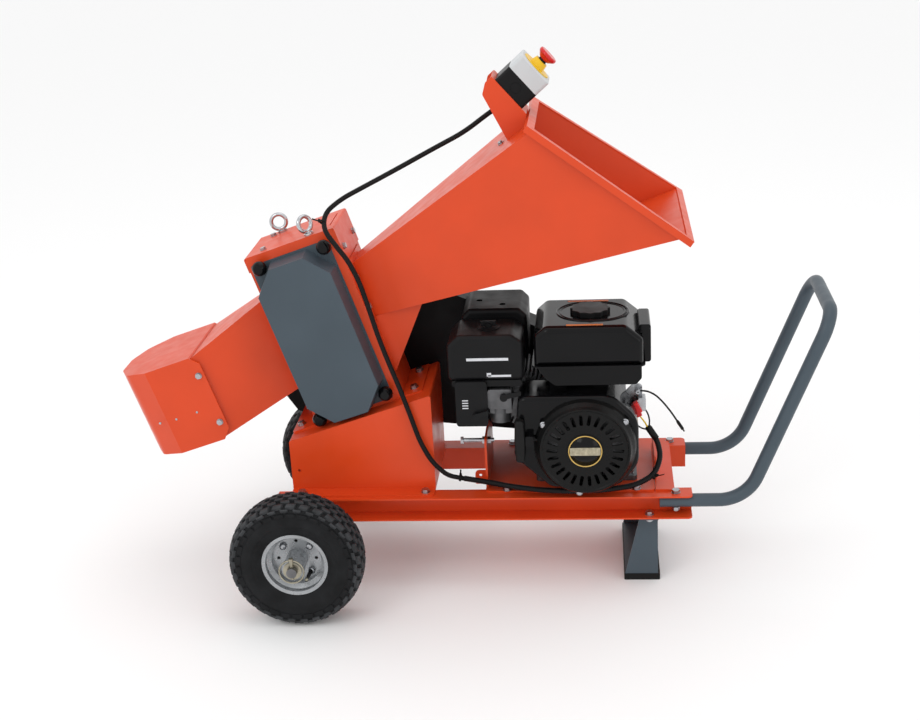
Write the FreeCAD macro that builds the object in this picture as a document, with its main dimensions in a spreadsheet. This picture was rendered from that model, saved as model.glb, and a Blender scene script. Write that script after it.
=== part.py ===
import FreeCAD, Part
import math
import os
import Sketcher

# Wood chipper: every node is one named sub-part, in millimetres.
# Ground is Z = 0, the discharge chute points to -X, the handle to +X and the engine's
# recoil starter faces -Y. Sub-parts are drawn about the wheel axle's middle, then shifted
# along X so that the origin lies under the middle of the whole machine.

SIZES = {
    # shift that centres the machine over the origin, set after the first recompute
    "mid_x": 0.0,
    # wheels and axle
    "wheel_radius": 125.0,
    "wheel_width": 76.0,
    "wheel_track": 494.0,
    "rim_seat_radius": 57.0,
    "rim_half_width": 29.0,
    "hub_radius": 19.5,
    "hub_reach": 49.0,
    "axle_radius": 9.5,
    "axle_beyond_hub": 12.0,
    "running_gap": 0.05,
    # frame rails
    "rail_start": -58.0,
    "rail_end": 724.0,
    "rail_low": 142.0,
    "rail_height": 46.0,
    "rail_inner": 97.0,
    "rail_outer": 136.0,
    "gauge": 3.0,
    # plates on the rails
    "plate_gauge": 4.0,
    "engine_plate_start": 340.0,
    "engine_plate_length": 316.0,
    "engine_plate_half": 113.0,
    "upright_top": 290.0,
    "bridge_start": 657.0,
    "bridge_end": 692.0,
    # base stand under the rotor housing
    "base_start": -31.5,
    "base_end": 243.5,
    "base_half": 92.0,
    "base_flange": 34.0,
    # front leg and its rubber foot
    "leg_start": 599.0,
    "leg_end": 661.0,
    "leg_half": 107.0,
    "foot_height": 13.0,
    # push handle
    "tube_radius": 12.5,
    "handle_overlap": 60.0,
    "handle_half": 118.0,
    "handle_run": 99.0,
    "handle_reach": 244.0,
    "handle_top_z": 529.0,
    # rotor housing: its own frame is tilted about Y
    "tilt": 18.0,
    "housing_x": 102.0,
    "housing_y": 17.0,
    "housing_z": 336.0,
    "housing_half_length": 88.0,
    "housing_half_width": 71.5,
    "housing_height": 346.0,
    "side_gauge": 3.5,
    "lid_gauge": 2.5,
    # rotor
    "rotor_height": 140.0,
    "rotor_radius": 62.0,
    "knife_radius": 70.0,
    "rotor_half": 58.0,
    "shaft_radius": 12.5,
    "bearing_depth": 25.0,
    # belt drive
    "pulley_start": 115.0,
    "pulley_width": 32.0,
    "rotor_pulley_radius": 72.0,
    "engine_pulley_radius": 43.2,
    "belt_width": 12.0,
    "belt_depth": 8.0,
    "belt_gap": 0.3,
    "guard_start": 92.0,
    "guard_depth": 68.0,
    "guard_gauge": 2.0,
    # raised grey cover over the near rotor bearing
    "cover_depth": 40.0,
    "cover_inset": 5.0,
    "knob_radius": 14.0,
    # discharge chute and deflector, in the housing frame
    "chute_low": 74.0,
    "chute_high": 261.0,
    "chute_half_in": 38.0,
    "chute_half_out": 100.0,
    "chute_length": 174.0,
    "deflector_half": 104.0,
    "deflector_back": 241.0,
    "deflector_fold": 349.0,
    "deflector_nose": 424.0,
    "deflector_low": 40.0,
    "deflector_high": 213.0,
    # hopper, in the housing frame
    "throat_low": 157.0,
    "throat_high": 266.0,
    "throat_half": 37.0,
    "mouth_low_x": 688.0,
    "mouth_low_z": 146.0,
    "mouth_high_x": 497.0,
    "mouth_high_z": 404.0,
    "mouth_half": 171.5,
    "lip": 12.0,
    "sheet": 2.5,
    # emergency-stop box
    "control_x": 469.7,
    "control_z": 460.2,
    "control_tilt": 23.0,
    "box_half": 35.0,
    "box_base_depth": 34.0,
    "box_lid_depth": 31.0,
    "stop_radius": 18.5,
    "stop_travel": 4.0,
    # engine, drawn about its crankshaft
    "engine_x": 529.0,
    "engine_z": 298.0,
    "engine_seat": 106.0,
    "crank_radius": 9.5,
    "fan_radius": 97.0,
    "fan_front": 150.0,
    "recoil_radius": 93.0,
    "tank_half_depth": 85.0,
    "tank_height": 112.0,
    "cap_radius": 37.0,
    "cap_height": 9.0,
    # cables
    "cable_radius": 4.5,
    "loom_radius": 5.5,
    "wire_radius": 1.7,
}
V = dict(SIZES)
TILT = math.radians(V["tilt"])
FRAME = "frame"
WHEEL = "wheel"
HOUSING = "housing"
ROTOR = "rotor"
ENGINE = "engine"
CONTROL = "control"
RAIL_TOP = V["rail_low"] + V["rail_height"]
AXLE_END = V["wheel_track"] / 2 + V["hub_reach"] + V["axle_beyond_hub"]
DOC = FreeCAD.newDocument("WoodChipper")
SHEET = DOC.addObject("Spreadsheet::Sheet", "Sizes")
PARTS = []
CORDS = []


def fill_sheet():
    """One row per size: name, value and alias."""
    for row, (name, value) in enumerate(SIZES.items(), start=1):
        SHEET.set("A%d" % row, name)
        SHEET.set("B%d" % row, "%.6f" % value)
        SHEET.setAlias("B%d" % row, name)
    DOC.recompute()


# ---------------------------------------------------------------- frames

def housing_point(along, across, up):
    """World point of a point in the tilted housing frame."""
    x = V["housing_x"] + along * math.cos(TILT) - up * math.sin(TILT)
    z = V["housing_z"] + along * math.sin(TILT) + up * math.cos(TILT)
    return FreeCAD.Vector(x, V["housing_y"] + across, z)


ROTOR_CENTRE = housing_point(0.0, 0.0, V["rotor_height"])
CONTROL_CENTRE = housing_point(V["control_x"], 0.0, V["control_z"])
ORIGINS = {
    FRAME: ("0", "0", "0"),
    WHEEL: ("0", "0", "Sizes.wheel_radius"),
    HOUSING: ("Sizes.housing_x", "Sizes.housing_y", "Sizes.housing_z"),
    ENGINE: ("Sizes.engine_x", "0", "Sizes.engine_z"),
    ROTOR: (
        "Sizes.housing_x - Sizes.rotor_height * sin(Sizes.tilt * 1 deg)",
        "Sizes.housing_y",
        "Sizes.housing_z + Sizes.rotor_height * cos(Sizes.tilt * 1 deg)",
    ),
    CONTROL: (
        "Sizes.housing_x + Sizes.control_x * cos(Sizes.tilt * 1 deg)"
        " - Sizes.control_z * sin(Sizes.tilt * 1 deg)",
        "Sizes.housing_y",
        "Sizes.housing_z + Sizes.control_x * sin(Sizes.tilt * 1 deg)"
        " + Sizes.control_z * cos(Sizes.tilt * 1 deg)",
    ),
}
ANGLES = {
    FRAME: 0.0,
    WHEEL: 0.0,
    ENGINE: 0.0,
    HOUSING: V["tilt"],
    ROTOR: V["tilt"],
    CONTROL: V["tilt"] + V["control_tilt"],
}


def place(part, group, offset_y="0"):
    """Give a sub-part its place from the sheet, and list it for export."""
    turn = FreeCAD.Rotation(FreeCAD.Vector(0, -1, 0), ANGLES[group])
    part.Placement = FreeCAD.Placement(FreeCAD.Vector(0, 0, 0), turn)
    x, y, z = ORIGINS[group]
    part.setExpression("Placement.Base.x", "%s - Sizes.mid_x" % x)
    part.setExpression("Placement.Base.y", "%s + %s" % (y, offset_y))
    part.setExpression("Placement.Base.z", z)
    PARTS.append(part)
    return part


# ---------------------------------------------------------------- outlines

def outline(points, radius=0.0):
    """Closed outline through 2-D points; every corner (or listed corner) is rounded."""
    count = len(points)
    radii = list(radius) if isinstance(radius, (list, tuple)) else [radius] * count
    corners = []
    for i, (x, y) in enumerate(points):
        here = FreeCAD.Vector(x, y, 0)
        before = (FreeCAD.Vector(*points[i - 1], 0) - here).normalize()
        after = (FreeCAD.Vector(*points[(i + 1) % count], 0) - here).normalize()
        if radii[i] <= 0:
            corners.append((here, None, here))
            continue
        half = before.getAngle(after) / 2
        reach = radii[i] / math.tan(half)
        bisector = (before + after).normalize()
        middle = here + bisector * (radii[i] / math.sin(half) - radii[i])
        corners.append((here + before * reach, middle, here + after * reach))
    shapes = []
    for i, (start, middle, end) in enumerate(corners):
        if middle is not None:
            shapes.append(Part.Arc(start, middle, end))
        following = corners[(i + 1) % count][0]
        if (following - end).Length > 1e-6:
            shapes.append(Part.LineSegment(end, following))
    return shapes


def rectangle(x0, y0, x1, y1, radius=0.0):
    return outline([(x0, y0), (x1, y0), (x1, y1), (x0, y1)], radius)


def circle(x, y, radius):
    centre = FreeCAD.Vector(x, y, 0)
    return [Part.Circle(centre, FreeCAD.Vector(0, 0, 1), radius)]


def text(value):
    """A sheet name becomes a reference, a number stays a number."""
    return "Sizes.%s" % value if isinstance(value, str) and value in SIZES else str(value)


# ---------------------------------------------------------------- bodies

def new_body(name):
    body = DOC.addObject("PartDesign::Body", name)
    body.Label = name
    return body


def add_sketch(body, plane, loops, offset="0"):
    """Sketch on one of the body's own planes, shifted along that plane's normal."""
    sketch = body.newObject("Sketcher::SketchObject", body.Name + "_outline")
    support = [f for f in body.Origin.OriginFeatures if f.Role == plane][0]
    sketch.AttachmentSupport = [(support, "")]
    sketch.MapMode = "FlatFace"
    for loop in loops:
        for shape in loop:
            sketch.addGeometry(shape, False)
    sketch.setExpression("AttachmentOffset.Base.z", offset)
    return sketch


def extrude(body, kind, plane, loops, start, length):
    """Pad or Pocket that fills start to start + length along the plane's world axis."""
    low, deep = text(start), text(length)
    offset = "-(%s + %s)" % (low, deep) if plane == "XZ_Plane" else low
    sketch = add_sketch(body, plane, loops, offset)
    feature = body.newObject("PartDesign::" + kind, body.Name + "_" + kind.lower())
    feature.Profile = sketch
    feature.setExpression("Length", deep)
    feature.Reversed = kind == "Pocket"
    sketch.Visibility = False
    return feature


def pad(body, plane, loops, start, length):
    return extrude(body, "Pad", plane, loops, start, length)


def pocket(body, plane, loops, start, length):
    """Cut, with a check that it removed material."""
    DOC.recompute()
    before = body.Shape.Volume
    feature = extrude(body, "Pocket", plane, loops, start, length)
    DOC.recompute()
    if body.Shape.Volume >= before - 1e-3:
        raise RuntimeError("%s: pocket removed nothing" % body.Label)
    return feature


def slab(name, group, plane, loops, start, length):
    body = new_body(name)
    pad(body, plane, loops, start, length)
    return place(body, group)


def turned(body, points, radius=0.0):
    """Revolve a (radius, Y) profile about the body's Y axis."""
    sketch = add_sketch(body, "XY_Plane", [outline(points, radius)])
    feature = body.newObject("PartDesign::Revolution", body.Name + "_turned")
    feature.Profile = sketch
    feature.ReferenceAxis = (sketch, ["V_Axis"])
    feature.Angle = 360.0
    sketch.Visibility = False
    return feature


def round_edges(body, pick, radius):
    """Fillet the edges of the body's last feature that the pick function accepts."""
    DOC.recompute()
    tip = body.Tip
    names = ["Edge%d" % i for i, edge in enumerate(tip.Shape.Edges, start=1) if pick(edge)]
    feature = body.newObject("PartDesign::Fillet", body.Name + "_fillet")
    feature.Base = (tip, names)
    feature.Radius = radius
    return feature


def made(name, group, shape):
    """A sub-part from Part functions: groups of fasteners, bent tubes and thin shells."""
    part = DOC.addObject("Part::Feature", name)
    part.Label = name
    part.Shape = shape
    return place(part, group)


def on_edge(axis, value):
    """Pick function: straight or curved edges that lie wholly in the plane axis = value."""
    def pick(edge):
        box = edge.BoundBox
        low = getattr(box, axis + "Min")
        high = getattr(box, axis + "Max")
        return abs(low - value) < 1e-3 and abs(high - value) < 1e-3
    return pick


# ---------------------------------------------------------------- solids

def block(x0, x1, y0, y1, z0, z1):
    corner = FreeCAD.Vector(x0, y0, z0)
    return Part.makeBox(x1 - x0, y1 - y0, z1 - z0, corner)


def rod(start, end, radius):
    span = end - start
    return Part.makeCylinder(radius, span.Length, start, span)


def prism(loops, plane, start, length):
    """Solid between two planes: plane XZ runs along Y, plane XY along Z."""
    wires = [Part.Wire([shape.toShape() for shape in loop]) for loop in loops]
    face = Part.makeFace(wires, "Part::FaceMakerBullseye")
    if plane == "XZ":
        face.rotate(FreeCAD.Vector(0, 0, 0), FreeCAD.Vector(1, 0, 0), 90)
        face.translate(FreeCAD.Vector(0, start, 0))
        return face.extrude(FreeCAD.Vector(0, length, 0))
    if plane == "YZ":
        turn = FreeCAD.Rotation(FreeCAD.Vector(1, 1, 1), 120)
        face.Placement = FreeCAD.Placement(FreeCAD.Vector(start, 0, 0), turn)
        return face.extrude(FreeCAD.Vector(length, 0, 0))
    face.translate(FreeCAD.Vector(0, 0, start))
    return face.extrude(FreeCAD.Vector(0, 0, length))


def hexagon(start, direction, height, across):
    """Hexagonal prism along a direction, width across its flats."""
    corner = across / math.sqrt(3)
    points = [FreeCAD.Vector(corner * math.cos(math.radians(60 * k)),
                             corner * math.sin(math.radians(60 * k)), 0) for k in range(7)]
    face = Part.Face(Part.makePolygon(points))
    turn = FreeCAD.Rotation(FreeCAD.Vector(0, 0, 1), direction)
    face.Placement = FreeCAD.Placement(start, turn)
    return face.extrude(turn.multVec(FreeCAD.Vector(0, 0, height)))


def bolt(seat, direction, grip, radius, nut=True):
    """Hex bolt with washer; seat is under the head, direction points out of the head."""
    out = FreeCAD.Vector(*direction).normalize()
    seat = FreeCAD.Vector(*seat)
    washer = rod(seat, seat + out * (0.3 * radius), 2.1 * radius)
    head = hexagon(seat + out * (0.3 * radius), out, 1.3 * radius, 3.3 * radius)
    tail = 2.2 * radius if nut else 0.0
    shank = rod(seat + out * 0.1, seat - out * (grip + tail), radius)
    solids = [washer.fuse([head, shank]).removeSplitter()]
    if nut:
        body = hexagon(seat - out * grip, -out, 1.6 * radius, 3.3 * radius)
        hole = rod(seat - out * (grip - 1), seat - out * (grip + 3 * radius), radius + V["running_gap"])
        solids.append(body.cut(hole))
    return solids


def group(solids):
    flat = []
    for item in solids:
        flat.extend(item if isinstance(item, list) else [item])
    return Part.makeCompound(flat)


def bend_path(points, radii):
    """Wire of straight runs joined by tangent arcs."""
    edges = []
    start = points[0]
    for i in range(1, len(points) - 1):
        back = (points[i - 1] - points[i]).normalize()
        ahead = (points[i + 1] - points[i]).normalize()
        half = back.getAngle(ahead) / 2
        reach = radii[i - 1] / math.tan(half)
        middle = points[i] + (back + ahead).normalize() * (radii[i - 1] / math.sin(half) - radii[i - 1])
        arc_start = points[i] + back * reach
        arc_end = points[i] + ahead * reach
        edges.append(Part.LineSegment(start, arc_start).toShape())
        edges.append(Part.Arc(arc_start, middle, arc_end).toShape())
        start = arc_end
    edges.append(Part.LineSegment(start, points[-1]).toShape())
    return Part.Wire(edges)


def tube(path, radius):
    """Round bar swept along a path."""
    start = path.Edges[0].valueAt(path.Edges[0].FirstParameter)
    direction = path.Edges[0].tangentAt(path.Edges[0].FirstParameter)
    ring = Part.Wire([Part.makeCircle(radius, start, direction)])
    return path.makePipeShell([ring], True, True)


# ---------------------------------------------------------------- wheels

def make_tyre(name, side):
    seat = V["rim_seat_radius"]
    outer = V["wheel_radius"]
    half = V["wheel_width"] / 2
    lip = V["rim_half_width"] + 1.5
    profile = [
        (seat, -lip + 6), (seat + 5, -lip + 6), (seat + 5, -lip), (outer * 0.64, -half),
        (outer * 0.84, -half), (outer - 7, -half + 5), (outer - 2, -half * 0.62), (outer, -half * 0.3),
        (outer, half * 0.3), (outer - 2, half * 0.62), (outer - 7, half - 5), (outer * 0.84, half),
        (outer * 0.64, half), (seat + 5, lip), (seat + 5, lip - 6), (seat, lip - 6),
    ]
    body = new_body(name)
    turned(body, profile)
    place(body, WHEEL, "%d * Sizes.wheel_track / 2" % side)


def make_rim(name, side):
    """Pressed rim, disc, hub tube and its two bushes; the hub reaches out on the side given."""
    seat = V["rim_seat_radius"]
    half = V["rim_half_width"]
    bore = V["axle_radius"] + V["running_gap"]
    hub = V["hub_radius"]
    reach = V["hub_reach"]
    body = new_body(name)
    barrel = [
        (seat + 4, -half), (seat + 4, -half + 3), (seat, -half + 4), (seat, -18), (seat - 8, -13),
        (seat - 8, 13), (seat, 18), (seat, half - 4), (seat + 4, half - 3), (seat + 4, half),
        (seat - 2.5, half - 1), (seat - 2.5, 17), (seat - 10.5, 11.5), (seat - 10.5, -11.5),
        (seat - 2.5, -17), (seat - 2.5, -half + 1),
    ]
    turned(body, barrel)
    inner, outer = sorted((side * -3, side * 0))
    turned(body, [(hub - 1, inner), (seat - 9, inner), (seat - 9, outer), (hub - 1, outer)])
    low, high = sorted((side * reach, side * -40))
    turned(body, [(hub - 2.5, low), (hub, low), (hub, high), (hub - 2.5, high)])
    for start, end in ((low, low + 10), (high - 10, high)):
        turned(body, [(bore, start), (hub - 2, start), (hub - 2, end), (bore, end)])
    ring = 35.0
    holes = []
    for k in range(4):
        angle = math.radians(90 * k)
        holes.append(circle(ring * math.cos(angle), ring * math.sin(angle), 3.2))
    pocket(body, "XZ_Plane", holes, -5, 10)
    heads = []
    for k in range(4):
        angle = math.radians(45 + 90 * k)
        cx, cz = ring * math.cos(angle), ring * math.sin(angle)
        corners = [(cx + 6 * math.cos(math.radians(60 * j)), cz + 6 * math.sin(math.radians(60 * j)))
                   for j in range(6)]
        heads.append(outline(corners))
    start = min(side * 4.5, 0)
    pad(body, "XZ_Plane", heads, start, 4.5)
    place(body, WHEEL, "%d * Sizes.wheel_track / 2" % side)


def make_axle():
    body = new_body("axle")
    end = AXLE_END
    pad(body, "XZ_Plane", [circle(0, 0, V["axle_radius"])], -end, 2 * end)
    pins = [circle(0, side * (end - 7), 2.6) for side in (-1, 1)]
    pocket(body, "XY_Plane", pins, -12, 24)
    place(body, WHEEL)
    brackets = new_body("axle_brackets")
    radius = V["axle_radius"]
    drop = V["rail_low"] - V["wheel_radius"]
    plate = outline([(-24, drop), (-12, -16), (12, -16), (24, drop)], [0, 8, 8, 0])
    pad(brackets, "XZ_Plane", [plate, circle(0, 0, radius + V["running_gap"])],
        -V["rail_outer"] + 8, 6)
    pad(brackets, "XY_Plane", [rectangle(-24, -V["rail_outer"] + 8, 24, V["rail_outer"] - 8)],
        drop - 3, 3)
    pad(brackets, "XZ_Plane", [plate, circle(0, 0, radius + V["running_gap"])],
        V["rail_outer"] - 14, 6)
    place(brackets, WHEEL)


def make_axle_hardware():
    """Washers and the two lynch pins with their wire rings."""
    solids = []
    end = AXLE_END
    half_track = V["wheel_track"] / 2
    for side in (-1, 1):
        for inner, outer in ((half_track + V["hub_reach"], 2.5), (half_track - 42.5, 2.5)):
            low = min(side * inner, side * (inner + outer))
            washer = Part.makeCylinder(17, 2.2, FreeCAD.Vector(0, low + 0.15, 0), FreeCAD.Vector(0, 1, 0))
            hole = Part.makeCylinder(V["axle_radius"] + V["running_gap"], 6,
                                     FreeCAD.Vector(0, low - 1, 0), FreeCAD.Vector(0, 1, 0))
            solids.append(washer.cut(hole))
        at = side * (end - 7)
        pin = rod(FreeCAD.Vector(0, at, -15), FreeCAD.Vector(0, at, 19), 2.5)
        head = rod(FreeCAD.Vector(0, at, 17.5), FreeCAD.Vector(0, at, 27), 4.2)
        ring = Part.makeTorus(22.5, 1.5, FreeCAD.Vector(-1, at, 0), FreeCAD.Vector(0, 1, 0))
        solids.append(pin.fuse([head, ring]).removeSplitter())
    made("axle_hardware", WHEEL, group(solids))


# ---------------------------------------------------------------- frame

BASE_BOLTS = [-10.0, 226.0]
PLATE_BOLTS = [380.0, 622.0]
HANDLE_BOLT = V["rail_end"] - 30.0
LEG_BOLT = 645.0
GUARD_BOLTS = [(20.0, 288.0), (190.0, 288.0)]
BOLT_R = 4.0
HOLE_R = 4.3
BASE_BOLT_Y = 112.0
PLATE_BOLT_Y = 108.0


def make_rail(name, side):
    """Channel that opens outward, with rounded flange corners and bolt holes."""
    inner, outer, gauge = V["rail_inner"], V["rail_outer"], V["gauge"]
    start, end = V["rail_start"], V["rail_end"]
    body = new_body(name)
    web_y = inner if side > 0 else -inner - gauge
    web = [(start, V["rail_low"]), (end, V["rail_low"]), (end, RAIL_TOP), (start, RAIL_TOP)]
    pad(body, "XZ_Plane", [outline(web, 4)], web_y, "gauge")
    corners = [(start, side * inner), (end, side * inner), (end, side * outer), (start, side * outer)]
    flange = outline(corners, [0, 0, 9, 9])
    top = [circle(x, side * BASE_BOLT_Y, HOLE_R) for x in BASE_BOLTS]
    top += [circle(x, side * PLATE_BOLT_Y, HOLE_R) for x in PLATE_BOLTS]
    top.append(circle(HANDLE_BOLT, side * V["handle_half"], HOLE_R))
    pad(body, "XY_Plane", [flange] + top, RAIL_TOP - gauge, "gauge")
    pad(body, "XY_Plane", [flange, circle(LEG_BOLT, side * 120, HOLE_R)], "rail_low", "gauge")
    place(body, FRAME)


def make_engine_plate():
    start = V["engine_plate_start"]
    end = start + V["engine_plate_length"]
    half = V["engine_plate_half"]
    top = RAIL_TOP + V["plate_gauge"]
    body = new_body("engine_plate")
    holes = [circle(x, side * PLATE_BOLT_Y, HOLE_R) for x in PLATE_BOLTS for side in (-1, 1)]
    for dx in (-81, 81):
        for y in (-58, 17.5):
            holes.append(circle(V["engine_x"] + dx, y, HOLE_R))
    pad(body, "XY_Plane", [rectangle(start, -half, end, half, 8)] + holes, RAIL_TOP, "plate_gauge")
    upright = outline([(-95, top - 1), (60, top - 1), (60, 255), (0, V["upright_top"]),
                       (-95, V["upright_top"])], [0, 0, 10, 10, 10])
    pad(body, "YZ_Plane", [upright, circle(-60, 274, HOLE_R)], start, "plate_gauge")
    tab = outline([(start - 22, RAIL_TOP), (start + 2, RAIL_TOP), (start + 2, RAIL_TOP + 28),
                   (start - 22, RAIL_TOP + 28)], [2, 0, 0, 8])
    pad(body, "XZ_Plane", [tab, circle(start - 12, RAIL_TOP + 18, 3)], -72, "gauge")
    place(body, FRAME)


def make_tail_bridge():
    start, end = V["bridge_start"], V["bridge_end"]
    body = new_body("tail_bridge")
    pad(body, "XY_Plane", [rectangle(start, -112, end, 112, [0, 6, 6, 0])], RAIL_TOP, "plate_gauge")
    rib = outline([(-70, RAIL_TOP), (70, RAIL_TOP), (70, RAIL_TOP + 48), (-70, RAIL_TOP + 48)],
                  [0, 0, 10, 10])
    pad(body, "YZ_Plane", [rib], start, "gauge")
    place(body, FRAME)


def base_top(x):
    """Height of the tilted top of the base stand at a given X."""
    drop = V["gauge"] / math.cos(TILT)
    return V["housing_z"] - drop + (x - V["housing_x"]) * math.tan(TILT)


LEDGE_BOLTS = [(-125.0, -45.0), (-125.0, 45.0), (110.0, -45.0), (110.0, 45.0)]


def make_base_stand():
    """Bent sheet box, open underneath, with a flange along each rail."""
    start, end, half = V["base_start"], V["base_end"], V["base_half"]
    gauge = V["gauge"]
    body = new_body("base_stand")
    skin = [(start, RAIL_TOP), (end, RAIL_TOP), (end, base_top(end)), (start, base_top(start))]
    pad(body, "XZ_Plane", [outline(skin, [0, 0, 4, 4])], "-Sizes.base_half", "2 * Sizes.base_half")
    lift = gauge / math.cos(TILT)
    hollow = [(start + gauge, RAIL_TOP - 1), (end - gauge, RAIL_TOP - 1),
              (end - gauge, base_top(end - gauge) - lift), (start + gauge, base_top(start + gauge) - lift)]
    pocket(body, "XZ_Plane", [outline(hollow)], -half + gauge, 2 * (half - gauge))
    for side in (-1, 1):
        inner, outer = sorted((side * (half - 1), side * (half + V["base_flange"])))
        radii = [0, 0, 9, 9] if side > 0 else [9, 9, 0, 0]
        holes = [circle(x, side * BASE_BOLT_Y, HOLE_R) for x in BASE_BOLTS]
        pad(body, "XY_Plane", [rectangle(start, inner, end, outer, radii)] + holes, RAIL_TOP, "gauge")
    pocket(body, "XZ_Plane", [circle(start + 15, 229, 3)], -half - 2, 8)
    pocket(body, "XZ_Plane", [circle(x, z, HOLE_R) for x, z in GUARD_BOLTS], half - gauge - 1, gauge + 2)
    place(body, FRAME)


def make_leg():
    start, end, half = V["leg_start"], V["leg_end"], V["leg_half"]
    gauge, low, high = V["gauge"], V["foot_height"], V["rail_low"]
    body = new_body("leg")
    pad(body, "YZ_Plane", [rectangle(-half, low, half, high)], end - gauge, "gauge")
    cheek = outline([(start, low), (end, low), (end, high), (start + 31, high)])
    for side in (-1, 1):
        pad(body, "XZ_Plane", [cheek], min(side * half, side * (half - gauge)), "gauge")
    pad(body, "XY_Plane", [rectangle(start, -half, end, half)], low, "gauge")
    for side in (-1, 1):
        inner, outer = sorted((side * (half - gauge), side * (V["rail_outer"] - 2)))
        hole = circle(LEG_BOLT, side * 120, HOLE_R)
        pad(body, "XY_Plane", [rectangle(start + 31, inner, end, outer), hole], high - gauge, "gauge")
    place(body, FRAME)
    slab("foot_pad", FRAME, "XY_Plane", [rectangle(start - 2, -half - 1, end + 4, half + 1, 3)],
         0, "foot_height")


def make_handle():
    """One bent tube; both ends lie inside the rails, under their top flanges."""
    side_y = V["handle_half"]
    level = RAIL_TOP - V["gauge"] - V["tube_radius"] - 0.1
    points = []
    for side in (-1, 1):
        arm = [
            FreeCAD.Vector(V["rail_end"] - V["handle_overlap"], side * side_y, level),
            FreeCAD.Vector(V["rail_end"] + V["handle_run"], side * side_y, level),
            FreeCAD.Vector(V["rail_end"] + V["handle_reach"], side * side_y, V["handle_top_z"]),
        ]
        points += arm if side < 0 else arm[::-1]
    path = bend_path(points, [75, 45, 45, 75])
    bar = tube(path, V["tube_radius"])
    for side in (-1, 1):
        hole = rod(FreeCAD.Vector(HANDLE_BOLT, side * side_y, level - 20),
                   FreeCAD.Vector(HANDLE_BOLT, side * side_y, level + 20), HOLE_R)
        bar = bar.cut(hole)
    made("handle", FRAME, bar)


def make_frame_bolts():
    """Bolts of the base flanges, engine plate, handle, leg and engine, and the belt tensioner."""
    gauge = V["gauge"]
    plate = V["plate_gauge"]
    solids = []
    for side in (-1, 1):
        for x in BASE_BOLTS:
            solids.append(bolt((x, side * BASE_BOLT_Y, RAIL_TOP + gauge), (0, 0, 1), 2 * gauge, BOLT_R))
        for x in PLATE_BOLTS:
            solids.append(bolt((x, side * PLATE_BOLT_Y, RAIL_TOP + plate), (0, 0, 1), gauge + plate, BOLT_R))
        grip = gauge + 2 * V["tube_radius"] + 0.1
        solids.append(bolt((HANDLE_BOLT, side * V["handle_half"], RAIL_TOP), (0, 0, 1), grip, BOLT_R))
        solids.append(bolt((LEG_BOLT, side * 120, V["rail_low"] + gauge), (0, 0, 1), 2 * gauge, BOLT_R))
    for dx in (-81, 81):
        for y in (-58, 17.5):
            seat = (V["engine_x"] + dx, y, RAIL_TOP + plate + 9)
            solids.append(bolt(seat, (0, 0, 1), plate + 9, BOLT_R))
    start = V["engine_plate_start"]
    stem = rod(FreeCAD.Vector(start - 42, -60, 274), FreeCAD.Vector(start + 16, -60, 274), BOLT_R)
    head = hexagon(FreeCAD.Vector(start - 42, -60, 274), FreeCAD.Vector(-1, 0, 0), 5.3, 13)
    locknut = hexagon(FreeCAD.Vector(start, -60, 274), FreeCAD.Vector(-1, 0, 0), 6.4, 13)
    rear = hexagon(FreeCAD.Vector(start + V["plate_gauge"], -60, 274), FreeCAD.Vector(1, 0, 0), 6.4, 13)
    solids.append(stem.fuse([head, locknut, rear]).removeSplitter())
    for x, z in GUARD_BOLTS:
        seat = (x, V["base_half"] - gauge, z)
        solids.append(bolt(seat, (0, -1, 0), gauge + V["guard_gauge"], BOLT_R))
    made("frame_bolts", FRAME, group(solids))


# ---------------------------------------------------------------- rotor housing

SCREW_R = 3.0


def mirrored(seats):
    """Each seat and its mirror image across the middle plane, as (point, outward direction)."""
    pairs = []
    for point, out in seats:
        for side in (-1, 1):
            pairs.append(((point[0], side * point[1], point[2]), (out[0], side * out[1], out[2])))
    return pairs


CHUTE_SCREWS = mirrored([((-V["housing_half_length"] - V["sheet"], 52, V["chute_low"] + 50), (-1, 0, 0)),
                         ((-V["housing_half_length"] - V["sheet"], 52, V["chute_high"] - 37), (-1, 0, 0))])
HOPPER_SCREWS = mirrored([((V["housing_half_length"] + V["sheet"], 52, V["throat_low"] + 25), (1, 0, 0)),
                          ((V["housing_half_length"] + V["sheet"], 52, V["throat_high"] - 25), (1, 0, 0))])
LID_SCREWS = mirrored([((-55, 48, V["housing_height"] + V["lid_gauge"]), (0, 0, 1))])
LID_SIDE_SCREWS = mirrored([((V["housing_half_length"] + V["lid_gauge"], 52, V["housing_height"] - 40),
                             (1, 0, 0))])
DEFLECTOR_SCREWS = mirrored([((-V["deflector_back"] - 11.5, V["deflector_half"], 76), (0, 1, 0)),
                             ((-V["deflector_back"] - 11.5, V["deflector_half"], 175), (0, 1, 0))])


def drilled(shape, seats):
    """Cut a clearance hole through the sheet under each screw seat."""
    for seat, out in seats:
        seat, out = FreeCAD.Vector(*seat), FreeCAD.Vector(*out)
        shape = shape.cut(rod(seat + out, seat - out * (V["sheet"] + 1), SCREW_R + 0.3))
    return shape


KNOBS = [(-73.0, 14.0), (65.0, 22.0), (-63.0, 326.0), (65.0, 324.0)]
STUD_HOLE_R = 3.3
EYE_PLACES = [(-37.0, 55.0, 10.0), (40.0, -58.0, 50.0)]


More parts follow.
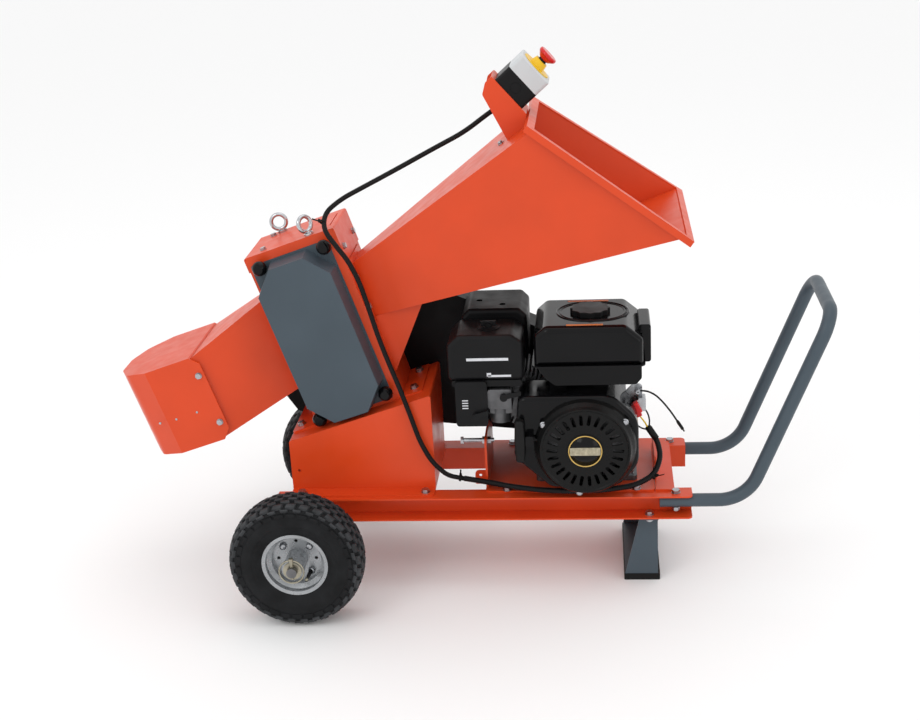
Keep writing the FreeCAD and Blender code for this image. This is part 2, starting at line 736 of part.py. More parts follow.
def make_housing():
    half, width = V["housing_half_length"], V["housing_half_width"]
    height, gauge, side_gauge = V["housing_height"], V["gauge"], V["side_gauge"]
    inner = width - side_gauge
    shell = new_body("housing_shell")
    pad(shell, "XZ_Plane", [rectangle(-half, 0, half, height, 3),
                            rectangle(-half + gauge, gauge, half - gauge, height - gauge)],
        "-Sizes.housing_half_width + Sizes.side_gauge",
        "2 * (Sizes.housing_half_width - Sizes.side_gauge)")
    foot_half = V["housing_half_width"]
    pad(shell, "XY_Plane", [rectangle(-140, -foot_half, 128, foot_half, 6)]
        + [circle(x, y, HOLE_R) for x, y in LEDGE_BOLTS], "-Sizes.gauge", "gauge")
    room = V["chute_half_in"] - 3
    pocket(shell, "YZ_Plane", [rectangle(-room, V["chute_low"] + 3, room, V["chute_high"] - 3)],
           -half - 1, gauge + 2)
    room = V["throat_half"] - 3
    pocket(shell, "YZ_Plane", [rectangle(-room, V["throat_low"] + 3, room, V["throat_high"] - 3)],
           half - gauge - 1, gauge + 2)
    eyes = [circle(x, y, HOLE_R) for x, y, turn in EYE_PLACES]
    pocket(shell, "XY_Plane", eyes, height - gauge - 1, gauge + 2)
    place(shell, HOUSING)
    shaft_hole = circle(0, V["rotor_height"], V["shaft_radius"] + 8)
    studs = [circle(x, z, STUD_HOLE_R) for x, z in KNOBS]
    panel = rectangle(-half, 0, half, height, 3)
    slab("housing_near_plate", HOUSING, "XZ_Plane", [panel, shaft_hole] + studs,
         "-Sizes.housing_half_width", "side_gauge")
    slab("housing_far_plate", HOUSING, "XZ_Plane", [panel, shaft_hole],
         "Sizes.housing_half_width - Sizes.side_gauge", "side_gauge")


def make_top_cover():
    half, width, height = V["housing_half_length"], V["housing_half_width"], V["housing_height"]
    lid = V["lid_gauge"]
    body = new_body("top_cover")
    left, right = height - 26, height - 64
    hood = outline([(-half - lid, left), (-half, left), (-half, height), (half, height), (half, right),
                    (half + lid, right), (half + lid, height + lid), (-half - lid, height + lid)],
                   [0, 0, 0, 0, 0, 0, 4, 4])
    pad(body, "XZ_Plane", [hood], -width, 2 * width)
    holes = [circle(x, y, HOLE_R) for x, y, turn in EYE_PLACES]
    holes.append(rectangle(half - 11, -40, half - 8.5, 45))
    holes += [circle(seat[0], seat[1], SCREW_R + 0.3) for seat, out in LID_SCREWS]
    pocket(body, "XY_Plane", holes, height - 1, lid + 2)
    sides = [circle(seat[1], seat[2], SCREW_R + 0.3) for seat, out in LID_SIDE_SCREWS]
    pocket(body, "YZ_Plane", sides, half - 1, lid + 2)
    place(body, HOUSING)


def cover_outline(grow):
    """Octagon of the raised cover, grown outward by a distance."""
    left, right, low, high = -80.0 - grow, 64.0 + grow, 6.0 - grow, 322.5 + grow
    across = 38.0 + grow * (2 - math.sqrt(2))
    up = 43.0 + grow * (2 - math.sqrt(2))
    return [(left + across, low), (right - across, low), (right, low + up), (right, high - up),
            (right - across, high), (left + across, high), (left, high - up), (left, low + up)]


def octagon_wire(grow, y):
    points = [FreeCAD.Vector(x, y, z) for x, z in cover_outline(grow)]
    return Part.makePolygon(points + points[:1])


def make_drum_cover():
    """Raised cover with bevelled sides on a flat flange plate."""
    sheet = 2.0
    back = -V["housing_half_width"]
    seat = back - sheet
    face = seat - V["cover_depth"]
    inset = V["cover_inset"]
    outer = Part.makeLoft([octagon_wire(inset, back), octagon_wire(0, face)], True, True)
    inner = Part.makeLoft([octagon_wire(inset - sheet, back + 1), octagon_wire(-sheet, face + sheet)],
                          True, True)
    studs = [circle(x, z, STUD_HOLE_R) for x, z in KNOBS]
    flange = prism([rectangle(-83, 4, 72, 332, 5)] + studs, "XZ", seat, sheet)
    made("drum_cover", HOUSING, outer.fuse(flange).cut(inner).removeSplitter())


def make_cover_knobs():
    """Four ball knobs, each with a neck and a threaded stud through the near plate."""
    seat = -V["housing_half_width"] - 2.0
    radius = V["knob_radius"]
    solids = []
    for x, z in KNOBS:
        centre = FreeCAD.Vector(x, seat - radius - 3, z)
        ball = Part.makeSphere(radius, centre)
        crown = block(x - radius, x + radius, centre.y - radius, centre.y - radius + 2.5,
                      z - radius, z + radius)
        neck = rod(FreeCAD.Vector(x, seat, z), centre, radius * 0.5)
        stud = rod(FreeCAD.Vector(x, seat + 12, z), centre, STUD_HOLE_R - 0.3)
        solids.append(ball.cut(crown).fuse([neck, stud]).removeSplitter())
    made("cover_knobs", HOUSING, group(solids))


def make_eye_bolts():
    top = V["housing_height"] + V["lid_gauge"]
    solids = []
    for x, y, turn in EYE_PLACES:
        centre = FreeCAD.Vector(x, y, top + 21)
        axis = FreeCAD.Vector(math.sin(math.radians(turn)), -math.cos(math.radians(turn)), 0)
        ring = Part.makeTorus(14, 4, centre, axis)
        land = rod(centre - axis * 10, centre + axis * 10, 10.6)
        collar = rod(FreeCAD.Vector(x, y, top), FreeCAD.Vector(x, y, top + 4), 9)
        neck = rod(FreeCAD.Vector(x, y, top), FreeCAD.Vector(x, y, top + 8), 5)
        shank = rod(FreeCAD.Vector(x, y, top - 16), FreeCAD.Vector(x, y, top + 3), BOLT_R)
        nut = hexagon(FreeCAD.Vector(x, y, top - V["lid_gauge"] - V["gauge"]), FreeCAD.Vector(0, 0, -1), 6.4, 13)
        eye = ring.fuse([collar, neck]).cut(land)
        solids.append(eye.fuse([shank, nut]).removeSplitter())
    made("eye_bolts", HOUSING, group(solids))


def make_bearings():
    """Flange bearing on the outside of each housing plate."""
    width, depth, level = V["housing_half_width"], V["bearing_depth"], V["rotor_height"]
    bore = V["shaft_radius"] + V["running_gap"]
    solids = []
    for side in (-1, 1):
        seat = side * width
        low = min(seat, seat + side * 12)
        plate = prism([rectangle(-43, level - 43, 43, level + 43, 22)], "XZ", low, 12)
        boss = rod(FreeCAD.Vector(0, seat, level), FreeCAD.Vector(0, seat + side * depth, level), 28)
        hole = rod(FreeCAD.Vector(0, seat - side, level), FreeCAD.Vector(0, seat + side * 40, level), bore)
        solid = plate.fuse(boss).cut(hole)
        for x in (-31, 31):
            for z in (-31, 31):
                tip = FreeCAD.Vector(x, seat + side * 12, level + z)
                solid = solid.fuse(hexagon(tip, FreeCAD.Vector(0, side, 0), 6, 15))
        solids.append(solid.removeSplitter())
    made("flange_bearings", HOUSING, group(solids))


def make_rotor():
    """Drum with two knives on its shaft, and the driven pulley, all about the rotor axis."""
    shaft_r, half, radius = V["shaft_radius"], V["rotor_half"], V["rotor_radius"]
    start = -V["housing_half_width"] - V["bearing_depth"] - 3
    end = V["pulley_start"] + V["pulley_width"] - V["housing_y"] + 3
    slab("rotor_shaft", ROTOR, "XZ_Plane", [circle(0, 0, shaft_r)], start, end - start)
    drum = new_body("rotor_drum")
    seats = []
    for turn in (0, math.pi):
        corners = [(radius - 12, -7), (radius + 6, -7), (radius + 6, 5), (radius - 12, 5)]
        seats.append(outline([(x * math.cos(turn) - z * math.sin(turn),
                               x * math.sin(turn) + z * math.cos(turn)) for x, z in corners]))
    pad(drum, "XZ_Plane", [circle(0, 0, radius), circle(0, 0, shaft_r)], -half, 2 * half)
    pocket(drum, "XZ_Plane", seats, -half - 1, 2 * half + 2)
    place(drum, ROTOR)
    blades = []
    for turn in (0, 180):
        blade = block(radius - 12, V["knife_radius"], -half + 2, half - 2, -7, -1)
        edge = block(V["knife_radius"] - 6, V["knife_radius"] + 4, -half, half, -1, 6)
        blade = blade.cut(edge)
        blade.rotate(FreeCAD.Vector(0, 0, 0), FreeCAD.Vector(0, 1, 0), turn)
        blades.append(blade)
    made("rotor_knives", ROTOR, group(blades))


def pulley_profile(radius, bore, start, width):
    """Two-groove pulley section as (radius, Y) points."""
    belt, depth, gap = V["belt_width"], V["belt_depth"], V["belt_gap"]
    middle = start + width / 2
    bottom = radius - depth - gap
    points = [(bore, start), (radius, start)]
    for centre in (middle - 8, middle + 8):
        low, high = centre - belt / 2 - gap, centre + belt / 2 + gap
        points += [(radius, low), (bottom, low), (bottom, high), (radius, high)]
    points += [(radius, start + width), (bore, start + width)]
    return points


def make_pulleys():
    start, width = V["pulley_start"], V["pulley_width"]
    rotor = new_body("rotor_pulley")
    turned(rotor, pulley_profile(V["rotor_pulley_radius"], V["shaft_radius"],
                                 start - V["housing_y"], width))
    place(rotor, ROTOR)
    engine = new_body("engine_pulley")
    turned(engine, pulley_profile(V["engine_pulley_radius"], V["crank_radius"], start, width))
    place(engine, ENGINE)


def belt_face(grow):
    """Face inside the belt line around both pulleys, grown from the groove bottom."""
    big = V["rotor_pulley_radius"] - V["belt_depth"] + grow
    small = V["engine_pulley_radius"] - V["belt_depth"] + grow
    far = FreeCAD.Vector(V["engine_x"] - ROTOR_CENTRE.x, V["engine_z"] - ROTOR_CENTRE.z, 0)
    lean = math.atan2(far.y, far.x)
    wrap = math.acos((big - small) / far.Length)

    def on(centre, radius, angle):
        return centre + FreeCAD.Vector(math.cos(angle), math.sin(angle), 0) * radius

    near = FreeCAD.Vector(ROTOR_CENTRE.x, ROTOR_CENTRE.z, 0)
    far = far + near
    a, b = on(near, big, lean + wrap), on(far, small, lean + wrap)
    c, d = on(far, small, lean - wrap), on(near, big, lean - wrap)
    return [Part.LineSegment(a, b), Part.Arc(b, on(far, small, lean), c), Part.LineSegment(c, d),
            Part.Arc(d, on(near, big, lean + math.pi), a)]


def make_belts():
    middle = V["pulley_start"] + V["pulley_width"] / 2
    solids = []
    for centre in (middle - 8, middle + 8):
        loops = [belt_face(V["belt_depth"]), belt_face(0)]
        solids.append(prism(loops, "XZ", centre - V["belt_width"] / 2, V["belt_width"]))
    made("drive_belts", FRAME, group(solids))


GUARD = [(-48, 277), (560, 214), (600, 250), (600, 340), (560, 392), (110, 590), (-40, 590),
         (-84, 540), (-84, 332)]


def make_belt_guard():
    """Closed sheet box round both pulleys, with holes for the bearing and the crankshaft."""
    start, depth, sheet = V["guard_start"], V["guard_depth"], V["guard_gauge"]
    radii = [12, 30, 30, 30, 30, 40, 30, 30, 12]
    body = new_body("belt_guard")
    pad(body, "XZ_Plane", [outline(GUARD, radii)], "guard_start", "guard_depth")
    cx = sum(x for x, z in GUARD) / len(GUARD)
    cz = sum(z for x, z in GUARD) / len(GUARD)
    inner = [(x + sheet * (1 if x < cx else -1), z + sheet * (1 if z < cz else -1)) for x, z in GUARD]
    pocket(body, "XZ_Plane", [outline(inner, [r - 1 for r in radii])], start + sheet, depth - 2 * sheet)
    holes = [circle(ROTOR_CENTRE.x, ROTOR_CENTRE.z, 62), circle(V["engine_x"], V["engine_z"], 50)]
    holes += [circle(x, z, HOLE_R) for x, z in GUARD_BOLTS]
    pocket(body, "XZ_Plane", holes, start - 1, sheet + 2)
    place(body, FRAME)


# ---------------------------------------------------------------- chute, deflector, hopper

def fan_plan(x0, half0, x1, half1):
    return outline([(x0, -half0), (x1, -half1), (x1, half1), (x0, half0)])


def make_chute():
    """Duct that widens from the housing to the deflector, open at both ends."""
    half, sheet = V["housing_half_length"], V["sheet"]
    near, far = V["chute_half_in"], V["chute_half_out"]
    end = -half - V["chute_length"]
    low, high = V["chute_low"], V["chute_high"]
    low_end, high_end = low - 32, high - 53
    slope = (far - near) / V["chute_length"]
    side = prism([outline([(end, low_end), (-half, low), (-half, high), (end, high_end)])], "XZ", -140, 280)
    plan = prism([fan_plan(end, far, -half, near)], "XY", 0, 300)
    duct = side.common(plan)
    tail, lead = end - 5, -half + 5
    hole = prism([outline([(tail, low_end + sheet - 0.9), (lead, low + sheet + 0.9),
                           (lead, high - sheet + 1.5), (tail, high_end - sheet - 1.5)])], "XZ", -140, 280)
    gap = prism([fan_plan(tail, far + 5 * slope - sheet, lead, near - 5 * slope - sheet)], "XY", 0, 300)
    duct = duct.cut(hole.common(gap))
    flange = prism([rectangle(-60, low - 14, 60, high + 14, 5),
                    rectangle(-near + sheet, low + sheet, near - sheet, high - sheet)],
                   "YZ", -half - sheet, sheet)
    made("chute", HOUSING, drilled(duct.fuse(flange).removeSplitter(), CHUTE_SCREWS))


def deflector_plan(grow):
    back, fold, nose = V["deflector_back"], V["deflector_fold"], V["deflector_nose"]
    half = V["deflector_half"] + grow
    side = [(-back, -half), (-fold, -half), (-fold - 48 - grow, -76 - grow * 0.6),
            (-nose + 4 - grow, -30 - grow * 0.2)]
    return side + [(x, -y) for x, y in side[::-1]]


def make_deflector():
    """Hood over the chute's end, open underneath and at the back."""
    low, high, sheet = V["deflector_low"], V["deflector_high"], V["sheet"]
    back, nose = V["deflector_back"], V["deflector_nose"]
    hood = prism([outline(deflector_plan(0), [0, 0, 30, 30, 30, 30, 0, 0])], "XY", low, high - low)
    profile = outline([(-nose - 10, low - 1), (-back - 18, low - 1), (-back, low + 19), (-back, high - 16),
                       (-back - 18, high + 1), (-nose - 10, high + 1)])
    hood = hood.common(prism([profile], "XZ", -150, 300))
    plan = deflector_plan(-sheet)
    plan[0] = (-back + 5, plan[0][1])
    plan[-1] = (-back + 5, plan[-1][1])
    room = prism([outline(plan, [0, 0, 28, 28, 28, 28, 0, 0])], "XY", low - 2, high - low + 2 - sheet)
    made("deflector", HOUSING, drilled(hood.cut(room), DEFLECTOR_SCREWS))


def hopper_half(x):
    """Half width of the hopper at a distance along the housing frame."""
    start = V["housing_half_length"]
    slope = (V["mouth_half"] - V["throat_half"]) / (V["mouth_low_x"] - start)
    return V["throat_half"] + slope * (x - start)


def mouth_frame():
    """Foot, up direction, outward normal and length of the hopper mouth in side view."""
    foot = FreeCAD.Vector(V["mouth_low_x"], 0, V["mouth_low_z"])
    head = FreeCAD.Vector(V["mouth_high_x"], 0, V["mouth_high_z"])
    up = head - foot
    length = up.Length
    up.normalize()
    normal = FreeCAD.Vector(up.z, 0, -up.x)
    return foot, up, normal, length


def mouth_wire(grow, shift):
    foot, up, normal, length = mouth_frame()
    low_half = hopper_half(V["mouth_low_x"]) + grow
    high_half = hopper_half(V["mouth_high_x"]) + grow
    low = foot - up * grow + normal * shift
    high = foot + up * (length + grow) + normal * shift
    points = [low + FreeCAD.Vector(0, -low_half, 0), low + FreeCAD.Vector(0, low_half, 0),
              high + FreeCAD.Vector(0, high_half, 0), high + FreeCAD.Vector(0, -high_half, 0)]
    return Part.makePolygon(points + points[:1])


def make_hopper():
    """Funnel of four sheets butted along its corners, with a folded lip round its slanted mouth."""
    start, sheet = V["housing_half_length"], V["sheet"]
    corners = [(start, V["throat_low"]), (V["mouth_low_x"], V["mouth_low_z"]),
               (V["mouth_high_x"], V["mouth_high_z"]), (start, V["throat_high"])]
    side = prism([outline(corners)], "XZ", -260, 520)
    far = V["mouth_low_x"]
    plan = prism([fan_plan(start, hopper_half(start), far, hopper_half(far))], "XY", 100, 360)
    funnel = side.common(plan)
    top_rise = (V["mouth_high_z"] - V["throat_high"]) / (V["mouth_high_x"] - start)
    low_rise = (V["mouth_low_z"] - V["throat_low"]) / (far - start)
    a, b = start - 5, far + 60
    roof_a = V["throat_high"] - 5 * top_rise - sheet * 1.06
    roof_b = V["mouth_high_z"] + (b - V["mouth_high_x"]) * top_rise - sheet * 1.06
    floor_a = V["throat_low"] - 5 * low_rise + sheet
    floor_b = V["mouth_low_z"] + (b - far) * low_rise + sheet
    inside = prism([outline([(a, floor_a), (b, floor_b), (b, roof_b), (a, roof_a)])], "XZ", -260, 520)
    gap = prism([fan_plan(a, hopper_half(a) - sheet, b, hopper_half(b) - sheet)], "XY", 90, 450)
    funnel = funnel.cut(inside.common(gap))
    lip = Part.makeLoft([mouth_wire(V["lip"], 0), mouth_wire(V["lip"], 3)], True, True)
    hem = Part.makeLoft([mouth_wire(V["lip"], -9), mouth_wire(V["lip"], 0)], True, True)
    room = Part.makeLoft([mouth_wire(V["lip"] - 2.5, -10), mouth_wire(V["lip"] - 2.5, 0.5)], True, True)
    opening = Part.makeLoft([mouth_wire(-sheet, -0.5), mouth_wire(-sheet, 4)], True, True)
    rim = lip.cut(opening).fuse(hem.cut(room))
    flange = prism([rectangle(-60, V["throat_low"] - 12, 60, V["throat_high"] + 12, 5),
                    rectangle(-V["throat_half"] + sheet, V["throat_low"] + sheet,
                              V["throat_half"] - sheet, V["throat_high"] - sheet)],
                   "YZ", start, sheet)
    whole = drilled(funnel.fuse([rim, flange]).removeSplitter(), HOPPER_SCREWS)
    sides = whole.cut(gap).Solids
    roof_and_floor = whole.common(gap).Solids
    made("hopper", HOUSING, group(sides + roof_and_floor))


def make_gusset():
    """Brace between the housing's high side and the underside of the hopper."""
    start = V["housing_half_length"]
    top = V["throat_low"]
    tip = start + 96
    under = top - (tip - start) * (V["throat_low"] - V["mouth_low_z"]) / (V["mouth_low_x"] - start) - 0.3
    body = new_body("hopper_gusset")
    web = outline([(start, 42), (tip, under - 4), (tip, under), (start, 50)])
    pad(body, "XZ_Plane", [web], -40, 80)
    fall = (top - V["mouth_low_z"]) / (V["mouth_low_x"] - start)
    clear = V["sheet"] + 0.3
    wing = outline([(start, 42), (tip, under - 4), (tip, under), (start + clear, top - 0.3 - clear * fall),
                    (start + clear, top - 12.5), (start, top - 12.5)])
    for low in (-40, 37):
        pad(body, "XZ_Plane", [wing], low, "gauge")
    place(body, HOUSING)


def make_sheet_bolts():
    """Bolts of the ledge, the housing sides, the lid and the deflector."""
    solids = [bolt((x, y, 0), (0, 0, 1), V["gauge"], BOLT_R, nut=False) for x, y in LEDGE_BOLTS]
    for seat, out in CHUTE_SCREWS + HOPPER_SCREWS + LID_SCREWS + LID_SIDE_SCREWS + DEFLECTOR_SCREWS:
        solids.append(bolt(seat, out, V["sheet"], SCREW_R, nut=False))
    made("sheet_bolts", HOUSING, group(solids))


# ---------------------------------------------------------------- emergency stop

def hopper_roof(along):
    """Height of the hopper's top panel in the housing frame."""
    start = V["housing_half_length"]
    rise = (V["mouth_high_z"] - V["throat_high"]) / (V["mouth_high_x"] - start)
    return V["throat_high"] + (along - start) * rise


def in_control(along, up):
    """Side-view point of the housing frame, seen in the control frame."""
    turn = math.radians(V["control_tilt"])
    dx, dz = along - V["control_x"], up - V["control_z"]
    return (dx * math.cos(turn) + dz * math.sin(turn), dz * math.cos(turn) - dx * math.sin(turn))


def make_control():
    half = V["box_half"]
    base, lid = V["box_base_depth"], V["box_lid_depth"]
    low = -46.0
    sheet = V["sheet"]
    rear, front = V["control_x"] - 30, V["control_x"] + 8
    bracket = new_body("control_bracket")
    web = rectangle(-half - 3, low, half + 3, half + 9, [0, 0, 6, 6])
    pad(bracket, "YZ_Plane", [web, circle(0, -12, 9)], -2.5, 2.5)
    under = [in_control(rear, hopper_roof(rear)), in_control(front, hopper_roof(front))]
    wing = outline([(0, low), (0, half + 9), (-16, half + 9), (-34, half - 3), under[0], under[1]],
                   [0, 3, 6, 6, 0, 0])
    for start in (-half - 3, half + 0.5):
        pad(bracket, "XZ_Plane", [wing], start, 2.5)
    foot = outline([under[0], under[1], in_control(front, hopper_roof(front) + sheet),
                    in_control(rear, hopper_roof(rear) + sheet)])
    pad(bracket, "XZ_Plane", [foot], -half - 3, 2 * half + 6)
    place(bracket, CONTROL)
    shell = new_body("stop_box_base")
    pad(shell, "YZ_Plane", [rectangle(-half, -half, half, half, 5)], 0, "box_base_depth")
    pocket(shell, "XZ_Plane", [circle(base / 2, 0, 10), circle(base / 2, 0, 9)], -half, 0.8)
    place(shell, CONTROL)
    cover = new_body("stop_box_lid")
    pad(cover, "YZ_Plane", [rectangle(-half, -half, half, half, 6)], "box_base_depth", "box_lid_depth")
    round_edges(cover, on_edge("X", base + lid), 3)
    DOC.recompute()
    pocket(cover, "YZ_Plane", [circle(0, 0, 9)], base + 6, lid)
    place(cover, CONTROL)
    face = base + lid
    collar = Part.makeCylinder(29, 1.5, FreeCAD.Vector(face, 0, 0), FreeCAD.Vector(1, 0, 0))
    sleeve = Part.makeCone(15, 12.5, 12, FreeCAD.Vector(face + 1.5, 0, 0), FreeCAD.Vector(1, 0, 0))
    hole = Part.makeCylinder(8, 20, FreeCAD.Vector(face - 2, 0, 0), FreeCAD.Vector(1, 0, 0))
    made("stop_collar", CONTROL, collar.fuse(sleeve).cut(hole))
    radius = V["stop_radius"]
    neck = Part.makeCone(10.5, radius - 1, 6.7, FreeCAD.Vector(face + 13.8 + V["stop_travel"], 0, 0),
                         FreeCAD.Vector(1, 0, 0))
    cap = Part.makeCylinder(radius, 7, FreeCAD.Vector(face + 20.5 + V["stop_travel"], 0, 0),
                            FreeCAD.Vector(1, 0, 0))
    cap = cap.makeFillet(2.5, cap.Edges)
    made("stop_stem", CONTROL, rod(FreeCAD.Vector(base + 12, 0, 0), FreeCAD.Vector(face + 20, 0, 0), 7.9))
    socket = rod(FreeCAD.Vector(face + 10, 0, 0), FreeCAD.Vector(face + 20.3, 0, 0), 7.9 + V["running_gap"])
    made("stop_head", CONTROL, cap.fuse(neck).cut(socket))


# ---------------------------------------------------------------- engine

CYLINDER_LEAN = math.radians(25)
CYLINDER_START = 88.0
CYLINDER_HALF = 42.0


def leaned(along, across):
    """Point of the cylinder's own axes in the engine's side view."""
    return (-along * math.cos(CYLINDER_LEAN) - across * math.sin(CYLINDER_LEAN),
            along * math.sin(CYLINDER_LEAN) - across * math.cos(CYLINDER_LEAN))


def make_crankcase():
    seat = -V["engine_seat"]
    body = new_body("crankcase")
    upper = leaned(CYLINDER_START, -CYLINDER_HALF)
    lower = leaned(CYLINDER_START, CYLINDER_HALF)
    case = outline([(-66, seat), (66, seat), (80, -60), (78, 40), (50, 74), (-30, 92), upper, lower,
                    (-84, -60)], [0, 0, 14, 14, 14, 14, 0, 0, 10])
    pad(body, "XZ_Plane", [case], -60, 138)
    feet = [circle(dx, y, HOLE_R) for dx in (-81, 81) for y in (-58, 17.5)]
    pad(body, "XY_Plane", [rectangle(-95, -72, 95, 32, 8)] + feet, seat, 9)
    pocket(body, "XZ_Plane", [circle(0, 0, V["crank_radius"] + V["running_gap"])], -62, 142)
    place(body, ENGINE)


def make_cylinder():
    """Finned cylinder and head, leaning up from level towards the chute."""
    start, half, pitch, count, fin = CYLINDER_START, CYLINDER_HALF, 8.0, 11, 3.5
    end = start + 4 + count * pitch
    points = [leaned(start, -half)]
    for k in range(count):
        at = start + 4 + k * pitch
        points += [leaned(at, -half), leaned(at, -half - 13), leaned(at + fin, -half - 13),
                   leaned(at + fin, -half)]
    points += [leaned(end, -half), leaned(end, half)]
    for k in reversed(range(count)):
        at = start + 4 + k * pitch
        points += [leaned(at + fin, half), leaned(at + fin, half + 13), leaned(at, half + 13),
                   leaned(at, half)]
    points.append(leaned(start, half))
    slab("cylinder", ENGINE, "XZ_Plane", [outline(points)], -44, 88)


ROPE_Y = -9.5
ROPE_Z = 18.0
ROPE_R = 2.2


def make_fan_housing():
    front, radius = V["fan_front"], V["fan_radius"]
    body = new_body("fan_housing")
    skin = outline([(-120, 97), (-131, -22), (-64, -84), (60, -84), (radius, -38), (radius, 50), (52, radius)],
                   [16, 22, 26, 44, 44, 50, 50])
    pad(body, "XZ_Plane", [skin], -front, front - 64)
    round_edges(body, on_edge("Y", -front), 9)
    inner = outline([(-116, 93), (-127, -20), (-62, -80), (58, -80), (radius - 4, -36), (radius - 4, 48),
                     (50, radius - 4)], [12, 18, 22, 40, 40, 46, 46])
    pocket(body, "XZ_Plane", [inner], -front + 4, front)
    pocket(body, "XZ_Plane", [circle(0, 0, 74)], -front - 1, 8)
    pad(body, "XZ_Plane", [rectangle(-107.7, 8, -93.3, 28, 3)], -front - 18.5, 18.5)
    pocket(body, "YZ_Plane", [circle(-front + ROPE_Y, ROPE_Z, ROPE_R + 0.8)], -120, 40)
    place(body, ENGINE)


def make_recoil_cover():
    """Dished starter cover with a ring of slots round its middle."""
    front, radius = V["fan_front"], V["recoil_radius"]
    body = new_body("recoil_cover")
    profile = [(0, -front - 22), (77, -front - 22), (79, -front - 24), (82, -front - 24), (85, -front - 18),
               (radius - 3, -front - 10), (radius, -front), (radius - 3, -front), (radius - 7, -front - 8),
               (81, -front - 16), (76, -front - 18), (0, -front - 18)]
    turned(body, profile)
    DOC.recompute()
    slot = outline([(49, -3.2), (69, -4.4), (71, 1.4), (51, 3.2)], 2.2)
    cut = pocket(body, "XZ_Plane", [slot], -front - 30, 30)
    pattern = body.newObject("PartDesign::PolarPattern", "recoil_slots")
    pattern.Originals = [cut]
    pattern.Axis = ([f for f in body.Origin.OriginFeatures if f.Role == "Y_Axis"][0], [""])
    pattern.Angle = 360
    pattern.Occurrences = 26
    body.Tip = pattern
    pocket(body, "YZ_Plane", [circle(-front + ROPE_Y, ROPE_Z, ROPE_R + 0.8)], -radius - 1, radius)
    turned(body, [(0, -front - 23.2), (33, -front - 23.2), (33.6, -front - 21), (0, -front - 21)])
    place(body, ENGINE)


def make_grip():
    """Pull grip with its rope, which lies behind the starter cover until it is pulled."""
    front = V["fan_front"]
    body = new_body("recoil_grip")
    grip = outline([(-126, -24), (-110, -24), (-108, 18), (-110, 58), (-126, 58), (-128, 18)],
                   [6, 6, 0, 6, 6, 0])
    pad(body, "XZ_Plane", [grip], -front - 20, 15)
    round_edges(body, on_edge("Y", -front - 20), 5)
    pad(body, "YZ_Plane", [circle(-front + ROPE_Y, ROPE_Z, ROPE_R)], -118, 190)
    place(body, ENGINE)


def make_fuel_tank():
    low, top = 110.0, 110.0 + V["tank_height"]
    seam = low + 38
    mid = -45.0
    half = V["tank_half_depth"]
    body = new_body("fuel_tank")
    upper = outline([(-89, seam), (107, seam), (107, top - 26), (76, top), (-68, top), (-89, top - 18)],
                    [0, 0, 14, 16, 16, 14])
    pad(body, "XZ_Plane", [upper], mid - half, 2 * half)
    lower = outline([(-86, seam), (104, seam), (104, low + 12), (94, low), (-52, low), (-70, low + 14)],
                    [0, 0, 8, 8, 8, 8])
    round_edges(body, lambda e: on_edge("Y", mid - half)(e) and e.BoundBox.ZMin > seam - 1, 12)
    DOC.recompute()
    round_edges(body, lambda e: on_edge("Y", mid + half)(e) and e.BoundBox.ZMin > seam - 1, 12)
    pad(body, "XZ_Plane", [lower], mid - half + 4, 2 * half - 8)
    for x in (-64, 14):
        pad(body, "XY_Plane", [rectangle(x, -104, x + 32, -80, 3)], V["fan_radius"], low + 2 - V["fan_radius"])
    pad(body, "XY_Plane", [rectangle(-93, mid - half - 4, 111, mid + half + 4, 14)], seam - 1.5, 3)
    pad(body, "XZ_Plane", [rectangle(100, seam - 10, 122, seam + 62, 5)], mid - 40, 90)
    place(body, ENGINE)
    cap = new_body("fuel_cap")
    lobes = []
    radius = V["cap_radius"]
    for k in range(24):
        angle = math.radians(15 * k)
        reach = radius if k % 2 == 0 else radius - 4
        lobes.append((13 + reach * math.cos(angle), -44 + reach * math.sin(angle)))
    pad(cap, "XY_Plane", [outline(lobes, 3)], top, "cap_height")
    round_edges(cap, on_edge("Z", top + V["cap_height"]), 1.5)
    place(cap, ENGINE)


def make_air_filter():
    case = new_body("filter_case")
    pad(case, "XZ_Plane", [outline([(-234, 37), (-176, 37), (-176, 124), (-234, 124)], 6)], -138, 84)
    pad(case, "XZ_Plane", [rectangle(-240, 112, -112, 124, 4)], -130, 84)
    place(case, ENGINE)
    cover = new_body("filter_cover")
    skin = outline([(-246, 124), (-109, 124), (-109, 196), (-128, 210), (-226, 210), (-246, 192)],
                   [8, 8, 12, 14, 14, 12])
    pad(cover, "XZ_Plane", [skin], -133, 97)
    round_edges(cover, lambda e: on_edge("Y", -133)(e), 9)
    pad(cover, "XY_Plane", [circle(-172, -84, 21)], 209, 2.5)
    pad(cover, "XY_Plane", [circle(-172, -84, 7)], 211, 7.5)
    pad(cover, "XY_Plane", [rectangle(-186, -86, -158, -82, 1.5)], 213.5, 9)
    place(cover, ENGINE)


def make_carburettor():
    body = new_body("carburettor")
    pad(body, "XZ_Plane", [rectangle(-175.7, 68, -132.5, 106, 5)], -132, 74)
    pad(body, "XY_Plane", [circle(-154, -112, 19)], 40, 30)
    pad(body, "XZ_Plane", [rectangle(-172, 58, -132.5, 74, 4)], -128, 60)
    pad(body, "YZ_Plane", [rectangle(-62, 70, -44, 104, 5)], -150, 40)
    place(body, ENGINE)
    levers = (("choke_lever", -146, 92, 32), ("fuel_tap", -196, 58, 22))
    for name, x, z, reach in levers:
        lever = new_body(name)
        start = -139.0 if name == "choke_lever" else -146.0
        pad(lever, "XZ_Plane", [circle(x, z, 7)], start, 6.7 if name == "choke_lever" else 7.7)
        arm = outline([(x - 4, z - 4), (x + reach, z + 4), (x + reach, z + 13), (x - 4, z + 5)], 2)
        pad(lever, "XZ_Plane", [arm], start, 3)
        place(lever, ENGINE)


